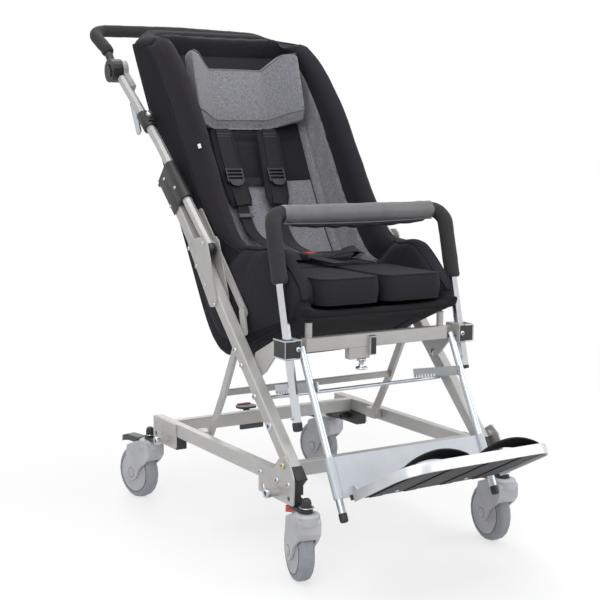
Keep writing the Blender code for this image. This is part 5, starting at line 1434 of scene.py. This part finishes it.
def push_fittings():
    """Tube clips with zinc buttons, latch tabs, end balls of the push tubes, rivets and hinge bolts."""
    right = Vector((1, 0, 0))
    tab_along = Vector((0, -0.042, -0.078))
    tab_turn = Matrix((right, tab_along.normalized(), right.cross(tab_along.normalized()))).transposed()
    clip_turn = Matrix((right, UPPER_ALONG, UPPER_UP)).transposed()
    for side, name in SIDES.items():
        out = right * side
        base = at(side * MAIN_X, *PUSH_BEND)
        clip = base + UPPER_ALONG * 0.084
        bm = lathe(CLIP, clip, UPPER_ALONG, 28)
        lever = base + UPPER_ALONG * 0.082 + UPPER_UP * 0.0165
        block(bm, lever, (0.0150, 0.0340, 0.0080), clip_turn, 0.0024)
        piece("tube_clip." + name, bm, BLACK, "push_frame")
        bm = bmesh.new()
        dome(bm, clip + UPPER_UP * 0.0255, UPPER_UP, 0.0082, 0.0030)
        tab_top = base + UPPER_ALONG * 0.180 - UPPER_UP * 0.010
        block(bm, tab_top + tab_along * 0.54, (0.0050, 0.0760, 0.0206), tab_turn, 0.0012)
        for share in (0.25, 0.55, 0.85):
            dome(bm, tab_top + tab_along * share + out * 0.0024, out, 0.0036, 0.0018)
        piece("latch_tab." + name, bm, ZINC, "push_frame")
        ball = lathe(BALL, at(side * MAIN_X, *PUSH_FOOT) - PUSH_ALONG * 0.0165, -PUSH_ALONG, 28)
        piece("push_ball." + name, ball, BLACK, "push_frame")
        rivets = bmesh.new()
        for y, z in ((0.5520, 0.7528), (0.5734, 0.7096), (0.6060, 0.7700)):
            dome(rivets, at(side * 0.2555, y, z), out, 0.0042, 0.0018)
        piece("sleeve_rivets." + name, rivets, ZINC, "push_frame")
        heads = [(at(side * HINGE_OUT, y, z), out, radius, 0.0030) for y, z, radius in HINGE_BOLTS]
        bolts("hinge_bolts." + name, "hinge_sockets." + name, "frame", *heads)


def bar_liner():
    """Dark liner that hangs slack under the bar cover, gathered between lacing points."""
    rings = []
    for k in range(81):
        s = k / 80
        bow = max(sin(pi * s), 0.0)
        slack = 0.0055 * bow ** 0.5 + 0.0012 * sin(s * 44.0) * bow
        middle = at(-0.168 + 0.336 * s, BAR_FRONT_Y, BAR_TOP - 0.0205 - slack)
        rings.append([middle + Vector((0, 0.0115 * c, (0.0030 + 0.5 * slack) * h)) for c, h in circle(12)])
    made = piece("bar_liner", skinned(rings), WEBBING, "safety_bar")
    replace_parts(made, "bar_pad")


def blank_tag():
    """A small white tag without print, sewn flat on the right rim."""
    u, v = 4.62, -4.25
    normal = skin_normal(u, v)
    along = (skin(u - 0.1, v) - skin(u + 0.1, v)).normalized()
    turn = Matrix((along.cross(normal).normalized(), -normal, along)).transposed()
    blocks("blank_tag", TAG, "seat", (lifted(u, v, 0.0112), (0.0068, 0.0012, 0.0110), 0.0003), turn=turn)


SLEEVE_START = 0.135
SLEEVE_HALF = 0.0155
# Distance along a sleeve and inset of its outline there.
SLEEVE_RINGS = mm((0, 1.2), (1, 0.3), (2.2, 0), (109.8, 0), (111, 0.3), (112, 1.2))


def lock_sleeves():
    """Twin lock sleeves: round back over the push tube, groove, and channel open towards the main tube."""
    for side, name in SIDES.items():
        rings = []
        for distance, inset in SLEEVE_RINGS:
            half = SLEEVE_HALF - inset
            low = -0.0500 + inset
            back = [(half * cos(pi * k / 16), 0.0010 + half * sin(pi * k / 16)) for k in range(17)]
            groove = max(half - 0.0009, 0.0142)
            right = [(groove, low), (half, low + 0.0020), (half, -0.0215), (groove, -0.0180), (half, -0.0145)]
            left = [(-x, z) for x, z in reversed(right)]
            channel = [(-0.0140, low), (-0.0140, -0.0135), (0.0140, -0.0135), (0.0140, low)]
            base = at(side * MAIN_X, *PUSH_FOOT) + PUSH_ALONG * (SLEEVE_START + distance)
            rings.append([base + Vector((x, 0, 0)) + PUSH_UP * z for x, z in right + back + left + channel])
        made = piece("sleeve_shell." + name, skinned(rings), BLACK, "push_frame")
        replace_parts(made, "lock_sleeve." + name)


def clamp_bands():
    """Thin zinc edges round the outer half of each black bar clamp, above and below."""
    for side, name in SIDES.items():
        bands = []
        for z in (0.4331, 0.4689):
            bands += [(0.2270, 0.0998, z, (0.0244, 0.0014, 0.0030)),
                      (0.2387, 0.1230, z, (0.0014, 0.0478, 0.0030))]
        bands.append((0.2387, 0.0999, 0.4510, (0.0014, 0.0016, 0.0360)))
        blocks("clamp_band." + name, ZINC, "frame",
               *[(at(side * x, y, z), size, 0.0005) for x, y, z, size in bands])


footplate()
pedal_pads()
clamp_bands()
lock_sleeves()
push_fittings()
bar_liner()
blank_tag()
